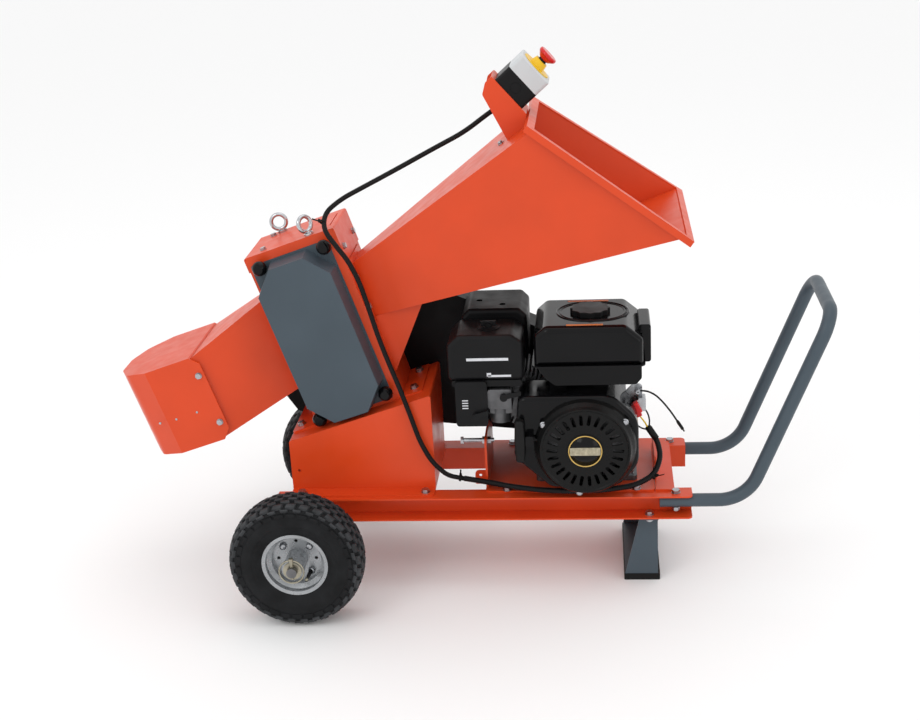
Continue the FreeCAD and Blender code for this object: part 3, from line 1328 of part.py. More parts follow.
def make_muffler():
    body = new_body("muffler_guard")
    pad(body, "XZ_Plane", [outline([(-226, 128), (-104, 128), (-104, 214), (-118, 228), (-212, 228),
                                    (-226, 214)], [6, 6, 10, 10, 10, 10])], -36, 118)
    round_edges(body, on_edge("Y", -36), 8)
    slots = [rectangle(20 - 7 * k, 170, 23 - 7 * k, 208, 1.2) for k in range(6)]
    pocket(body, "YZ_Plane", slots, -108, 6)
    pocket(body, "XY_Plane", [circle(-195, 20, 6), circle(-150, -5, 6)], 225, 5)
    place(body, ENGINE)


def make_crankshaft():
    front = V["fan_front"]
    radius = V["crank_radius"]
    end = V["pulley_start"] + V["pulley_width"] + 3
    body = new_body("crankshaft")
    turned(body, [(0, -front + 2), (12, -front + 2), (12, -125), (78, -125), (78, -100), (20, -90),
                  (radius, -80), (radius, end), (0, end)])
    place(body, ENGINE)


def make_terminals():
    """Bracket between fan housing and crankcase, with a terminal post and the plug beside it."""
    plate = outline([(60, 30), (76, 30), (106, 62), (106, 86), (88, 86), (60, 56)], [0, 0, 4, 6, 6, 0])
    body = new_body("terminals")
    pad(body, "XZ_Plane", [plate], -64, 4)
    pad(body, "XZ_Plane", [circle(98, 76, 4), circle(98, 76, 1.5)], -80, 16.5)
    pad(body, "XZ_Plane", [rectangle(98, 40, 112, 66, 3)], -84, 22)
    place(body, ENGINE)


# ---------------------------------------------------------------- cables

def cord(name, points, radius):
    """Cable as straight runs and tangent arcs, each arc set by the shorter run beside it."""
    points = [FreeCAD.Vector(*p) for p in points]
    radii = []
    for i in range(1, len(points) - 1):
        back = points[i - 1] - points[i]
        ahead = points[i + 1] - points[i]
        half_turn = (math.pi - back.getAngle(ahead)) / 2
        radii.append(0.45 * min(back.Length, ahead.Length) / math.tan(half_turn))
    path = bend_path(points, radii)
    shape = tube(path, radius)
    ratio = shape.Volume / (math.pi * radius ** 2 * path.Length)
    print("%s: length %.1f, least bend %.1f, volume ratio %.4f" % (name, path.Length, min(radii), ratio))
    print("  bends " + " ".join("%.0f" % r for r in radii))
    CORDS.append(made(name, FRAME, shape))


CONTROL_CABLE = [
    (396, 17, 899), (366, 15, 880), (322, 5, 850), (262, -6, 822), (200, -18, 792), (142, -29, 765),
    (98, -40, 745), (68, -56, 724), (68, -84, 700), (90, -94, 672), (110, -93, 643), (127, -91, 602),
    (140, -90, 553), (153, -91, 500), (169, -94, 450), (188, -99, 398), (205, -103, 345),
    (220, -104, 292), (240, -104, 250), (268, -100, 219), (298, -96, 211),
]
ENGINE_LOOM = [
    (299.5, -96, 211), (340, -105, 208), (396, -124, 205), (452, -133, 202), (508, -135.5, 201),
    (566, -131, 201), (620, -117, 203), (656, -98, 216), (668, -84, 246), (662, -77, 276),
    (646, -74, 300),
]
LOOSE_WIRE = [
    (631.5, -72, 374), (644, -74, 374), (659, -76, 367), (673, -76, 352), (687, -73, 332), (700, -70, 310),
]


def make_cables():
    cord("control_cable", CONTROL_CABLE, V["cable_radius"])
    cord("engine_loom", ENGINE_LOOM, V["loom_radius"])
    cord("loose_wire", LOOSE_WIRE, V["wire_radius"])


# ---------------------------------------------------------------- build

def centre_machine():
    """Move the origin under the middle of the machine, cables left out."""
    box = FreeCAD.BoundBox()
    for part in PARTS:
        if part not in CORDS:
            box.add(part.Shape.optimalBoundingBox(True, False))
    middle = V["mid_x"] + (box.XMin + box.XMax) / 2
    SHEET.set("mid_x", "%.6f" % middle)
    print("origin shift %.6f" % middle)
    DOC.recompute()


def export():
    os.makedirs("parts", exist_ok=True)
    for item in DOC.Objects:
        if "Invalid" in item.State or "Error" in item.State:
            raise RuntimeError("%s does not compute" % item.Label)
    for part in PARTS:
        shape = part.Shape
        if shape.isNull() or not shape.isValid() or not shape.Solids:
            raise RuntimeError("%s has no valid solid" % part.Label)
    for part in PARTS:
        part.Shape.exportStep("parts/%s.step" % part.Label)
    print("%d sub-parts written" % len(PARTS))


fill_sheet()
for wheel_name, wheel_side in (("near", -1), ("far", 1)):
    make_tyre("tyre_" + wheel_name, wheel_side)
    make_rim("rim_" + wheel_name, wheel_side)
    make_rail("rail_" + wheel_name, wheel_side)
make_axle()
make_axle_hardware()
make_engine_plate()
make_tail_bridge()
make_base_stand()
make_leg()
make_handle()
make_frame_bolts()
make_housing()
make_top_cover()
make_drum_cover()
make_cover_knobs()
make_eye_bolts()
make_bearings()
make_rotor()
make_pulleys()
make_belts()
make_belt_guard()
make_chute()
make_deflector()
make_hopper()
make_gusset()
make_sheet_bolts()
make_control()
make_crankcase()
make_cylinder()
make_fan_housing()
make_recoil_cover()
make_grip()
make_fuel_tank()
make_air_filter()
make_carburettor()
make_muffler()
make_crankshaft()
make_terminals()
make_cables()
DOC.recompute()
centre_machine()
export()
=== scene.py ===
import bpy
import math
from mathutils import Matrix, Vector

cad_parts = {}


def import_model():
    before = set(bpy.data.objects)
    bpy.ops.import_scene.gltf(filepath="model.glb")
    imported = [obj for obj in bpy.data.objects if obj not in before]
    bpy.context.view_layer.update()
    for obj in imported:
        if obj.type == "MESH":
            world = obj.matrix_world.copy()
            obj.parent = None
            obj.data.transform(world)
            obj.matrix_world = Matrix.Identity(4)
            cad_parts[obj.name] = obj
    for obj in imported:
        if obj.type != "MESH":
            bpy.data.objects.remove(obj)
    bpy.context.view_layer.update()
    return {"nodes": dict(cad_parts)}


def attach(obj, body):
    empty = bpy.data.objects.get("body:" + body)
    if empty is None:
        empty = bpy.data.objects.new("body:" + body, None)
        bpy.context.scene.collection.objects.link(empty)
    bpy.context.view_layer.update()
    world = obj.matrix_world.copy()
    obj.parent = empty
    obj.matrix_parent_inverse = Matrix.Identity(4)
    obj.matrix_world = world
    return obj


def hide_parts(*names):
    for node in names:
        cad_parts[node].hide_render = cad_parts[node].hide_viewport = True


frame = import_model()
NODES = frame["nodes"]

# Places are written in millimetres from the ground under the wheel axle's
# middle: X towards the push handle, Y away from the starter, Z up.
MM = 0.001
SHIFT_X = -308.618  # the wheel axle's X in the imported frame
WHEEL_Y = 247  # a wheel's middle plane
AXLE_Z = 125
HUB_END_Y = 296  # outer end of a wheel's hub
CRANK_X, CRANK_Z = 529, 298  # the crankshaft's axis, under the starter cover


def world(x, y, z):
    """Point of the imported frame, in metres, from millimetres as written here."""
    return Vector(((x + SHIFT_X) * MM, y * MM, z * MM))


# ---------------------------------------------------------------- materials

NOISE_DETAIL, NOISE_ROUGH = 3.0, 0.5
BAND = (0.3, 0.7)  # where a colour band starts and ends in the noise
GLOSS_SCALE = 4.3  # patches of gloss are this much finer than those of colour
GLOSS_VARY = 0.06
COAT_ROUGH = 0.1


def node_material(name):
    """New node material: itself, its nodes and links, its shader, and object coordinates."""
    mat = bpy.data.materials.new(name)
    mat.use_nodes = True
    nodes, links = mat.node_tree.nodes, mat.node_tree.links
    shader = nodes["Principled BSDF"]
    coords = nodes.new("ShaderNodeTexCoord")
    return mat, nodes, links, shader, coords.outputs["Object"]


def noise(nodes, links, where, scale):
    tex = nodes.new("ShaderNodeTexNoise")
    tex.inputs["Scale"].default_value = scale
    tex.inputs["Detail"].default_value = NOISE_DETAIL
    tex.inputs["Roughness"].default_value = NOISE_ROUGH
    links.new(where, tex.inputs["Vector"])
    return tex.outputs["Fac"]


def ramp(nodes, links, value, low, high):
    band = nodes.new("ShaderNodeValToRGB")
    for element, position, color in zip(band.color_ramp.elements, BAND, (low, high)):
        element.position = position
        element.color = (*color, 1)
    links.new(value, band.inputs["Fac"])
    return band.outputs["Color"]


def bump(nodes, links, shader, height, strength, distance):
    node = nodes.new("ShaderNodeBump")
    node.inputs["Strength"].default_value = strength
    node.inputs["Distance"].default_value = distance
    links.new(height, node.inputs["Height"])
    links.new(node.outputs["Normal"], shader.inputs["Normal"])


def finish_material(name, color, rough, metal=0.0, vary=0.08, grain=900.0, grain_bump=0.15,
                    depth=0.0002, patch=9.0, coat=0.0, specular=0.5, ior=1.5):
    """Surface with broad colour drift, uneven gloss and a fine relief.

    patch and grain are the noise scales of the drift and of the relief, per metre.
    """
    mat, nodes, links, shader, where = node_material(name)
    low = tuple(c * (1 - vary) for c in color)
    high = tuple(min(1.0, c * (1 + vary)) for c in color)
    drift = ramp(nodes, links, noise(nodes, links, where, patch), low, high)
    links.new(drift, shader.inputs["Base Color"])
    gloss = ramp(nodes, links, noise(nodes, links, where, patch * GLOSS_SCALE),
                 (rough - GLOSS_VARY,) * 3, (rough + GLOSS_VARY,) * 3)
    links.new(gloss, shader.inputs["Roughness"])
    shader.inputs["Metallic"].default_value = metal
    shader.inputs["Coat Weight"].default_value = coat
    shader.inputs["Coat Roughness"].default_value = COAT_ROUGH
    shader.inputs["Specular IOR Level"].default_value = specular
    shader.inputs["IOR"].default_value = ior
    bump(nodes, links, shader, noise(nodes, links, where, grain), grain_bump, depth)
    return mat


MATS = {
    "orange": finish_material("orange_powder_coat", (0.655, 0.058, 0.010), 0.36, vary=0.05,
                              grain=1100, grain_bump=0.12, specular=0.32),
    "slate": finish_material("slate_powder_coat", (0.056, 0.077, 0.095), 0.42, vary=0.07,
                             grain=1000, grain_bump=0.12, specular=0.3),
    "guard": finish_material("black_powder_coat", (0.005, 0.005, 0.0055), 0.4, vary=0.2, ior=1.2),
    "zinc": finish_material("zinc_plate", (0.42, 0.43, 0.45), 0.3, metal=1.0, vary=0.12, patch=60),
    "bright": finish_material("bright_steel", (0.50, 0.51, 0.53), 0.2, metal=1.0, vary=0.1,
                              patch=40),
    "steel": finish_material("dark_steel", (0.16, 0.16, 0.165), 0.38, metal=1.0, vary=0.2,
                             patch=50),
    "rim": finish_material("silver_rim_paint", (0.36, 0.375, 0.39), 0.3, metal=0.6, vary=0.1,
                           patch=30, grain=240, grain_bump=0.03, specular=0.4),
    "rubber": finish_material("moulded_rubber", (0.006, 0.006, 0.006), 0.45, vary=0.25, grain=600,
                              ior=1.28),
    "tyre": finish_material("tyre_rubber", (0.0085, 0.009, 0.010), 0.56, vary=0.4, grain=420,
                            grain_bump=0.3, patch=26, depth=0.0005, ior=1.25),
    "tread": finish_material("tread_rubber", (0.030, 0.032, 0.035), 0.6, vary=0.35, grain=500,
                             grain_bump=0.3, patch=40, depth=0.0004, specular=0.3),
    "gloss": finish_material("gloss_black", (0.0035, 0.0035, 0.004), 0.12, vary=0.2,
                             grain_bump=0.02, ior=1.26),
    "satin": finish_material("satin_black", (0.0065, 0.0065, 0.007), 0.38, vary=0.25, grain=1400,
                             grain_bump=0.3, ior=1.24),
    "recoil": finish_material("recoil_black", (0.006, 0.006, 0.006), 0.30, vary=0.2, grain=1400,
                              grain_bump=0.2, ior=1.24),
    "alloy": finish_material("cast_alloy", (0.12, 0.12, 0.125), 0.5, metal=0.8, vary=0.25,
                             grain=500, grain_bump=0.4, patch=40),
    "iron": finish_material("cast_iron", (0.03, 0.031, 0.033), 0.55, metal=0.4, vary=0.25,
                            grain=400, grain_bump=0.5),
    "grey": finish_material("grey_plastic", (0.55, 0.57, 0.58), 0.45, vary=0.04, grain=1600,
                            specular=0.3),
    "yellow": finish_material("yellow_plastic", (0.80, 0.52, 0.02), 0.35, vary=0.05,
                              specular=0.3),
    "red": finish_material("red_plastic", (0.62, 0.012, 0.012), 0.28, vary=0.08, coat=0.2,
                           specular=0.3),
    "brass": finish_material("yellow_zinc", (0.36, 0.335, 0.26), 0.32, metal=1.0, vary=0.15,
                             patch=60),
    "gold": finish_material("gold_band", (0.62, 0.42, 0.13), 0.3, metal=1.0, vary=0.1),
    "silver": finish_material("silver_band", (0.40, 0.36, 0.26), 0.4, metal=0.8, vary=0.3,
                              patch=160),
    "tie": finish_material("nylon_tie", (0.005, 0.005, 0.005), 0.4, vary=0.2, ior=1.25),
    "paper": finish_material("blank_label", (0.62, 0.63, 0.66), 0.5, vary=0.06, patch=140,
                             specular=0.3),
    "amber": finish_material("orange_stripe", (0.60, 0.17, 0.035), 0.45, vary=0.12, patch=200,
                             specular=0.3),
}
# look of each CAD node that stays shown
LOOK = {
    "orange": ["rail_near", "rail_far", "axle_brackets", "engine_plate", "tail_bridge",
               "base_stand", "housing_shell", "housing_near_plate", "housing_far_plate",
               "top_cover", "chute", "deflector", "hopper", "hopper_gusset", "control_bracket"],
    "slate": ["leg", "handle", "drum_cover"],
    "guard": ["belt_guard", "muffler_guard"],
    "zinc": ["frame_bolts", "sheet_bolts", "terminals"],
    "brass": ["axle_hardware"],
    "bright": ["eye_bolts", "rotor_knives"],
    "steel": ["rotor_shaft", "rotor_drum", "crankshaft", "axle"],
    "rim": ["rim_near", "rim_far"],
    "rubber": ["foot_pad", "drive_belts", "recoil_grip"],
    "gloss": ["fan_housing", "fuel_tank", "cover_knobs"],
    "satin": ["filter_case", "filter_cover", "fuel_cap", "choke_lever", "fuel_tap",
              "stop_box_base", "stop_stem"],
    "recoil": ["recoil_cover"],
    "alloy": ["crankcase", "cylinder", "carburettor"],
    "iron": ["flange_bearings", "rotor_pulley", "engine_pulley"],
    "grey": ["stop_box_lid"],
    "yellow": ["stop_collar"],
    "red": ["stop_head"],
    "tyre": ["tyre_near", "tyre_far"],
}
# width of the edge bevel in metres: moulded covers and bent tubes are rounder than sheet
EDGE_WIDTH = {"gloss": 0.0012, "satin": 0.0012, "slate": 0.0009}
SHEET_EDGE = 0.0007
EDGE_ANGLE = 40  # degrees; blunter edges stay as they are
BEVEL_STEPS = 2


def dress_cad():
    """Material and a small edge bevel on every CAD node that stays shown."""
    for look, names in LOOK.items():
        for name in names:
            obj = NODES[name]
            obj.data.materials.clear()
            obj.data.materials.append(MATS[look])
            bevel = obj.modifiers.new("edge", "BEVEL")
            bevel.width = EDGE_WIDTH.get(look, SHEET_EDGE)
            bevel.segments = BEVEL_STEPS
            bevel.limit_method = "ANGLE"
            bevel.angle_limit = math.radians(EDGE_ANGLE)
            bevel.harden_normals = True


# ---------------------------------------------------------------- pieces

def add_mesh(name, verts, faces, look, body, smooth=True, uvs=None):
    """New piece from vertices in metres; uvs has one pair for each vertex."""
    mesh = bpy.data.meshes.new(name)
    mesh.from_pydata([tuple(v) for v in verts], [], faces)
    mesh.update()
    if uvs is not None:
        layer = mesh.uv_layers.new(name="UVMap")
        for loop in mesh.loops:
            layer.data[loop.index].uv = uvs[loop.vertex_index]
    if smooth:
        for poly in mesh.polygons:
            poly.use_smooth = True
    obj = bpy.data.objects.new(name, mesh)
    bpy.context.scene.collection.objects.link(obj)
    mesh.materials.append(MATS[look])
    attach(obj, body)
    return obj


def lathe(name, profile, centre, axis, look, body, segments):
    """Revolve (along, radius) points in millimetres about an axis through centre."""
    axis = Vector(axis).normalized()
    side = axis.orthogonal().normalized()
    other = axis.cross(side)
    verts, faces = [], []
    count = len(profile)
    for k in range(segments):
        angle = 2 * math.pi * k / segments
        radial = side * math.cos(angle) + other * math.sin(angle)
        for along, radius in profile:
            verts.append(centre + axis * (along * MM) + radial * (radius * MM))
    for k in range(segments):
        nxt = (k + 1) % segments
        for i in range(count - 1):
            here, there = k * count + i, nxt * count + i
            faces.append((here, there, there + 1, here + 1))
    return add_mesh(name, verts, faces, look, body)


BOX_FACES = ((0, 1, 3, 2), (4, 6, 7, 5), (0, 4, 5, 1), (2, 3, 7, 6), (0, 2, 6, 4), (1, 5, 7, 3))


def boxes(name, items, look, body, bevel):
    """One mesh of boxes; each item is (centre, half sizes, 3x3 rotation), in metres."""
    verts, faces = [], []
    for centre, half, turn in items:
        base = len(verts)
        for sx in (-1, 1):
            for sy in (-1, 1):
                for sz in (-1, 1):
                    corner = Vector((sx * half[0], sy * half[1], sz * half[2]))
                    verts.append(centre + turn @ corner)
        for quad in BOX_FACES:
            faces.append(tuple(base + q for q in quad))
    obj = add_mesh(name, verts, faces, look, body, smooth=False)
    mod = obj.modifiers.new("edge", "BEVEL")
    mod.width = bevel
    mod.segments = BEVEL_STEPS
    return obj


# ---------------------------------------------------------------- tyres

PITCHES = 30  # repeats of the tread's pattern round the tyre
PITCH = 2 * math.pi / PITCHES
# bead, sidewall rings and shoulder: (across, radius), from the rim outwards
SIDEWALL = [(-24.5, 57.2), (-29, 62), (-30.4, 66), (-33, 70), (-35.5, 76), (-37, 80),
            (-37.6, 80.6), (-37.4, 84), (-37.8, 88), (-37, 93), (-35.6, 99), (-34.6, 104),
            (-35.2, 105), (-34.4, 109), (-31, 113.2)]
CROWN_STATIONS = (-26, -18, -9, 0, 9, 18, 26)
CROWN_SINK = 0.5  # the carcass lies this far under the crown that the blocks follow
# rows of blocks each side of the middle: start and end in pitches, near and far
# distance across, shear in radians, height
BLOCK_ROWS = ((0.0, 0.70, 1.2, 9.6, 0.02, 4.4), (0.5, 1.22, 11.4, 20.4, -0.02, 4.3),
              (0.0, 0.74, 22.4, 31.8, 0.03, 4.2))
BLOCK_STEPS = 3  # rings of a block across its width
BLOCK_WALL = 0.010  # radians that a block's wall leans over
BLOCK_ROOT = -1.2  # foot of a block's wall, under the crown
BLOCK_DROP = 1.0  # the ends of a block are this much lower
# rings of lugs: name, look, offset in pitches, radius, half length round the tyre,
# half depth, lean in radians, distance across
LUG_RINGS = (("_shoulder", "tread", 0.87, 110.8, 7.2, 4.6, 0.50, 33.6),
             ("_sidewall", "tyre", 0.37, 102.6, 8.6, 4.2, 0.12, 35.6))
LUG_HALF_HEIGHT = 1.7
LUG_EDGE = 0.001
CROWN_RADIUS, CROWN_DROP = 120.5, 6.5  # at the middle, and how much lower at the shoulder
CROWN_HALF = 34.0  # from the middle to the shoulder
CROWN_POWER = 2.4


def crown(y):
    """Tyre crown radius in mm at a distance across from its middle."""
    return CROWN_RADIUS - CROWN_DROP * (abs(y) / CROWN_HALF) ** CROWN_POWER


def tyre(name, node, body, side):
    """Carcass with sidewall rings, three rows of blocks a side, and two rings of lugs a side."""
    centre = world(0, side * WHEEL_Y, AXLE_Z)
    profile = SIDEWALL + [(y, crown(y) - CROWN_SINK) for y in CROWN_STATIONS]
    profile += [(-y, r) for y, r in reversed(SIDEWALL)]
    carcass = lathe(name, profile, centre, (0, 1, 0), "tyre", body, 144)
    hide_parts(node)
    verts, faces = [], []

    def block(a0, a1, y0, y1, skew, height):
        """Raised block between two angles, sheared round the tyre across its width."""
        base = len(verts)
        for j in range(BLOCK_STEPS + 1):
            y = y0 + (y1 - y0) * j / BLOCK_STEPS
            lean = skew * (j / BLOCK_STEPS - 0.5)
            for a, raised in ((a0, False), (a0 + BLOCK_WALL, True), (a1 - BLOCK_WALL, True),
                              (a1, False)):
                top = crown(y) + (height if raised else BLOCK_ROOT)
                if raised and j in (0, BLOCK_STEPS):
                    top -= BLOCK_DROP
                angle = a + lean
                out = Vector((top * math.cos(angle), 0, top * math.sin(angle)))
                verts.append(centre + out * MM + Vector((0, y * MM, 0)))
        for j in range(BLOCK_STEPS):
            for i in range(3):
                p = base + j * 4 + i
                faces.append((p, p + 1, p + 5, p + 4))
        faces.append((base, base + 3, base + 2, base + 1))
        end = base + BLOCK_STEPS * 4
        faces.append((end, end + 1, end + 2, end + 3))

    for k in range(PITCHES):
        for s in (-1, 1):
            a = PITCH * k + (0 if s < 0 else PITCH * 0.5)
            for start, stop, near, far, skew, height in BLOCK_ROWS:
                block(a + PITCH * start, a + PITCH * stop, *sorted((s * near, s * far)),
                      s * skew, height)
    add_mesh(name + "_blocks", verts, faces, "tread", body, smooth=False)
    for part, look, offset, radius, wide, deep, lean, out in LUG_RINGS:
        items = []
        for k in range(PITCHES):
            for s in (-1, 1):
                place = k + offset + (0 if s < 0 else 0.5)
                turn = Matrix.Rotation(-PITCH * place, 3, "Y")
                middle = centre + turn @ Vector((radius * MM, 0, 0)) + Vector((0, s * out * MM, 0))
                items.append((middle, (deep * MM, LUG_HALF_HEIGHT * MM, wide * MM),
                              turn @ Matrix.Rotation(s * lean, 3, "Z")))
        boxes(name + part, items, look, body, LUG_EDGE)


STUD_RING = 35  # radius of the ring of bolts and holes in a rim
# one stud of each kind to a quarter turn: degrees, distance across, radius, height, look
STUDS = ((45, 251.4, 6.6, 3.4, "zinc"), (0, 243.0, 4.8, 0.5, "rubber"))
BUSH = [(0, 10.4), (0, 16.4), (0.9, 16.4), (1.6, 15.4), (1.6, 10.4), (0, 10.4)]
BUSH_SINK = 1.7
VALVE = [(0, 0), (0, 4.6), (8, 3.6), (20, 3.2), (20, 2.6), (27, 2.6), (27, 0)]
VALVE_TIP = [(0, 0), (0, 2.9), (6, 2.9), (6, 0)]
VALVE_FOOT = (24, 251, 101)  # on the rim, for the wheel on the +Y side
VALVE_LEAN = (0.12, 1, -0.1)
VALVE_REACH = 26  # from the valve's foot to its tip


def wheel_fittings(name, body, side):
    """Black bush end round the axle, rim bolt heads, hole plugs and the tyre's valve."""
    hub_end = world(0, side * HUB_END_Y, AXLE_Z)
    lathe(name + "_bush", BUSH, hub_end - Vector((0, side * BUSH_SINK * MM, 0)), (0, side, 0),
          "rubber", body, 40)
    for k in range(4):
        for angle, across, radius, high, look in STUDS:
            turn = math.radians(angle + 90 * k)
            place = (STUD_RING * math.cos(turn), side * across,
                     AXLE_Z + STUD_RING * math.sin(turn))
            dome(name + "_%s_%d" % (look, k), place, (0, side, 0), radius, high, look, body)
    x, across, z = VALVE_FOOT
    stem = world(x, side * across, z)
    lean = Vector((VALVE_LEAN[0] * side, VALVE_LEAN[1] * side, VALVE_LEAN[2]))
    lathe(name + "_valve", VALVE, stem, lean, "rubber", body, 20)
    lathe(name + "_valve_tip", VALVE_TIP, stem + lean.normalized() * (VALVE_REACH * MM), lean,
          "brass", body, 16)


# ---------------------------------------------------------------- small parts

BEAD_RING = 8  # points round a bead
OVAL_STEPS = 20  # parts of each half circle


def bead(name, points, radius, look, body):
    """Closed raised bead along level points in millimetres, half sunk in its panel."""
    verts, faces = [], []
    count = len(points)
    for i, p in enumerate(points):
        ahead = (Vector(points[(i + 1) % count]) - Vector(points[i - 1])).normalized()
        side = Vector((0, 0, 1)).cross(ahead).normalized()
        upward = ahead.cross(side)
        for k in range(BEAD_RING):
            a = 2 * math.pi * k / BEAD_RING
            q = Vector(p) + side * (radius * math.cos(a)) + upward * (radius * math.sin(a))
            verts.append(world(*q))
    for i in range(count):
        n = (i + 1) % count
        for k in range(BEAD_RING):
            m = (k + 1) % BEAD_RING
            faces.append((i * BEAD_RING + k, i * BEAD_RING + m, n * BEAD_RING + m,
                          n * BEAD_RING + k))
    return add_mesh(name, verts, faces, look, body)


def oval(x0, x1, y0, y1, z):
    """Stadium outline on a level plane."""
    radius = (y1 - y0) / 2
    middle = (y0 + y1) / 2
    points = []
    for turn_x, start in ((x1 - radius, -math.pi / 2), (x0 + radius, math.pi / 2)):
        for k in range(OVAL_STEPS + 1):
            a = start + math.pi * k / OVAL_STEPS
            points.append((turn_x + radius * math.cos(a), middle + radius * math.sin(a), z))
    return points


TIE_HALF = 1.8  # half the width of a cable tie's band
TIE_SINK, TIE_RISE = 0.4, 1.1  # its faces under and over the cable's skin


def tie(name, at, along, radius, tail):
    """Cable tie: a flat band round the cable with its head and a cut tail."""
    centre, along, tail = world(*at), Vector(along).normalized(), Vector(tail).normalized()
    inner, outer = radius - TIE_SINK, radius + TIE_RISE
    band = lathe(name, [(-TIE_HALF, inner), (-TIE_HALF, outer), (TIE_HALF, outer),
                        (TIE_HALF, inner), (-TIE_HALF, inner)],
                 centre, along, "tie", "machine", 28)
    side = along.cross(tail).normalized()
    turn = Matrix((tail, side, along)).transposed()
    head = centre + tail * ((radius + 2.2) * MM)
    cut_end = head + tail * (7.5 * MM) + side * (1.4 * MM)
    boxes(name + "_head", [(head, (2.6 * MM, 3.0 * MM, 2.4 * MM), turn),
                           (cut_end, (7.0 * MM, 0.6 * MM, 1.5 * MM), turn)],
          "tie", "machine", 0.0004)
    return band


def dome(name, at, out, radius, height, look, body):
    """Rounded head: a rivet, a rim bolt or a hole plug."""
    lathe(name, [(-1, 0), (-1, radius), (0.2, radius), (height * 0.6, radius * 0.78),
                 (height, radius * 0.3), (height, 0)], world(*at), out, look, body, 20)


HEX_ACROSS, HEX_HEIGHT = 9, 4.5
HEX_CHAMFER = 0.8  # height of the chamfered top


def hex_bolt(name, at, out):
    """Hexagon head on a washer."""
    centre, out = world(*at), Vector(out).normalized()
    washer, flats, top = HEX_ACROSS * 0.72, HEX_ACROSS * 0.56, HEX_ACROSS * 0.42
    lathe(name + "_washer", [(0, 0), (0, washer), (1.2, washer), (1.2, 0)], centre, out, "zinc",
          "machine", 24)
    lathe(name + "_head", [(1.0, 0), (1.0, flats), (HEX_HEIGHT, flats),
                           (HEX_HEIGHT + HEX_CHAMFER, top), (HEX_HEIGHT + HEX_CHAMFER, 0)],
          centre, out, "zinc", "machine", 6)


FRONT = Vector((0, -1, 0))
BADGE_Y = -173.2  # face of the starter cover
BAND_Y = -174.7  # middle of the band across the badge
BAND_HALF, BAND_HIGH = 27.5, 7.6  # half its length and half its height
BAND_REACH = 28.4  # its ends follow this radius, inside the badge's ring
BAND_PARTS = 12
BAND_THICK = 0.0006
RECOIL_BOLT_Y = -159.5  # face of the starter cover's flange
RECOIL_BOLT_RING = 88.5
RECOIL_BOLT_ANGLES = (35, 148, 262)
PRINT_EDGE = 0.0002  # bevel of stripes and labels
# blank stripes and labels: name, look, and the middle and half sizes of each strip
PRINTS = (
    ("tank_stripes", "amber", [((538, 20, 520.1), (38, 3.4, 0.4)),
                               ((532, -116, 519.9), (33, 3.6, 0.4))]),
    ("filter_label", "paper", [((356, -133.2, 463.5), (38, 0.35, 2.6)),
                               ((377, -133.2, 431.5), (21, 0.35, 2.0)),
                               ((358, -133.2, 434.0), (4, 0.35, 3.4))]),
    ("case_label", "paper", [((312.5, -138.3, 386 - 5 * k), (5.5, 0.35, 1.0))
                             for k in range(4)]),
)


def engine_details():
    """Badge disc, ring and band, tank recess, blank stripes and labels, starter bolts."""
    hub = world(CRANK_X, BADGE_Y, CRANK_Z)
    lathe("badge_disc", [(0, 0), (0, 31), (0.8, 31), (0.9, 0)], hub, FRONT, "gloss", "machine", 72)
    lathe("badge_ring", [(0.6, 28.6), (1.3, 28.9), (1.3, 30.6), (0.6, 31.0), (0.6, 28.6)], hub,
          FRONT, "gold", "machine", 72)
    verts = []
    for k in range(BAND_PARTS + 1):
        x = -BAND_HALF + 2 * BAND_HALF * k / BAND_PARTS
        reach = min(BAND_HIGH, math.sqrt(BAND_REACH ** 2 - x * x))
        verts += [world(CRANK_X + x, BAND_Y, CRANK_Z + s * reach) for s in (-1, 1)]
    faces = [(2 * k, 2 * k + 2, 2 * k + 3, 2 * k + 1) for k in range(BAND_PARTS)]
    plate = add_mesh("badge_band", verts, faces, "silver", "machine", smooth=False)
    thick = plate.modifiers.new("thickness", "SOLIDIFY")
    thick.thickness = BAND_THICK
    thick.offset = 0
    bead("tank_recess_bead", oval(481, 612, -96, 12, 519.6), 2.2, "gloss", "machine")
    bead("tank_recess_step", oval(487, 606, -90, 6, 519.2), 2.0, "gloss", "machine")
    for name, look, strips in PRINTS:
        boxes(name, [(world(*middle), [h * MM for h in half], Matrix.Identity(3))
                     for middle, half in strips], look, "machine", PRINT_EDGE)
    for k, angle in enumerate(RECOIL_BOLT_ANGLES):
        turn = math.radians(angle)
        hex_bolt("recoil_bolt_%d" % k, (CRANK_X + RECOIL_BOLT_RING * math.cos(turn), RECOIL_BOLT_Y,
                                        CRANK_Z + RECOIL_BOLT_RING * math.sin(turn)), FRONT)


LEAD_RADIUS = 1.5
LEADS = (
    ("lead_yellow", "yellow", [(645, -74, 299), (640, -78, 312), (634, -82, 322), (629, -85, 330)]),
    ("lead_green", "tie", [(647, -72, 300), (648, -76, 318), (644, -80, 334), (632, -82, 352),
                           (622, -78, 368)]),
    ("lead_black", "tie", [(643, -76, 298), (632, -84, 304), (620, -88, 316), (617, -87, 332)]),
)


def wiring():
    """Red connector and three short leads between the loom's end and the terminals."""
    turn = Matrix.Rotation(math.radians(-28), 3, "Y")
    leads = [boxes("red_connector",
                   [(world(623, -86, 346), (7.5 * MM, 6 * MM, 11 * MM), turn),
                    (world(628, -86, 333), (5 * MM, 4.5 * MM, 4 * MM), turn)],
                   "red", "machine", 0.0012)]
    for name, look, points in LEADS:
        leads.append(tube_mesh(name, route(points), LEAD_RADIUS, 2.0, look, "machine", ring=8)[0])
    leads.append(lathe("loom_tape", [(-26, 5.6), (-26, 6.3), (-2, 6.5), (2, 5.6), (3, 3.0), (3, 0)],
                       world(645.4, -73.9, 301.2), (-16, 3, 24), "tie", "machine", 24))
    return leads


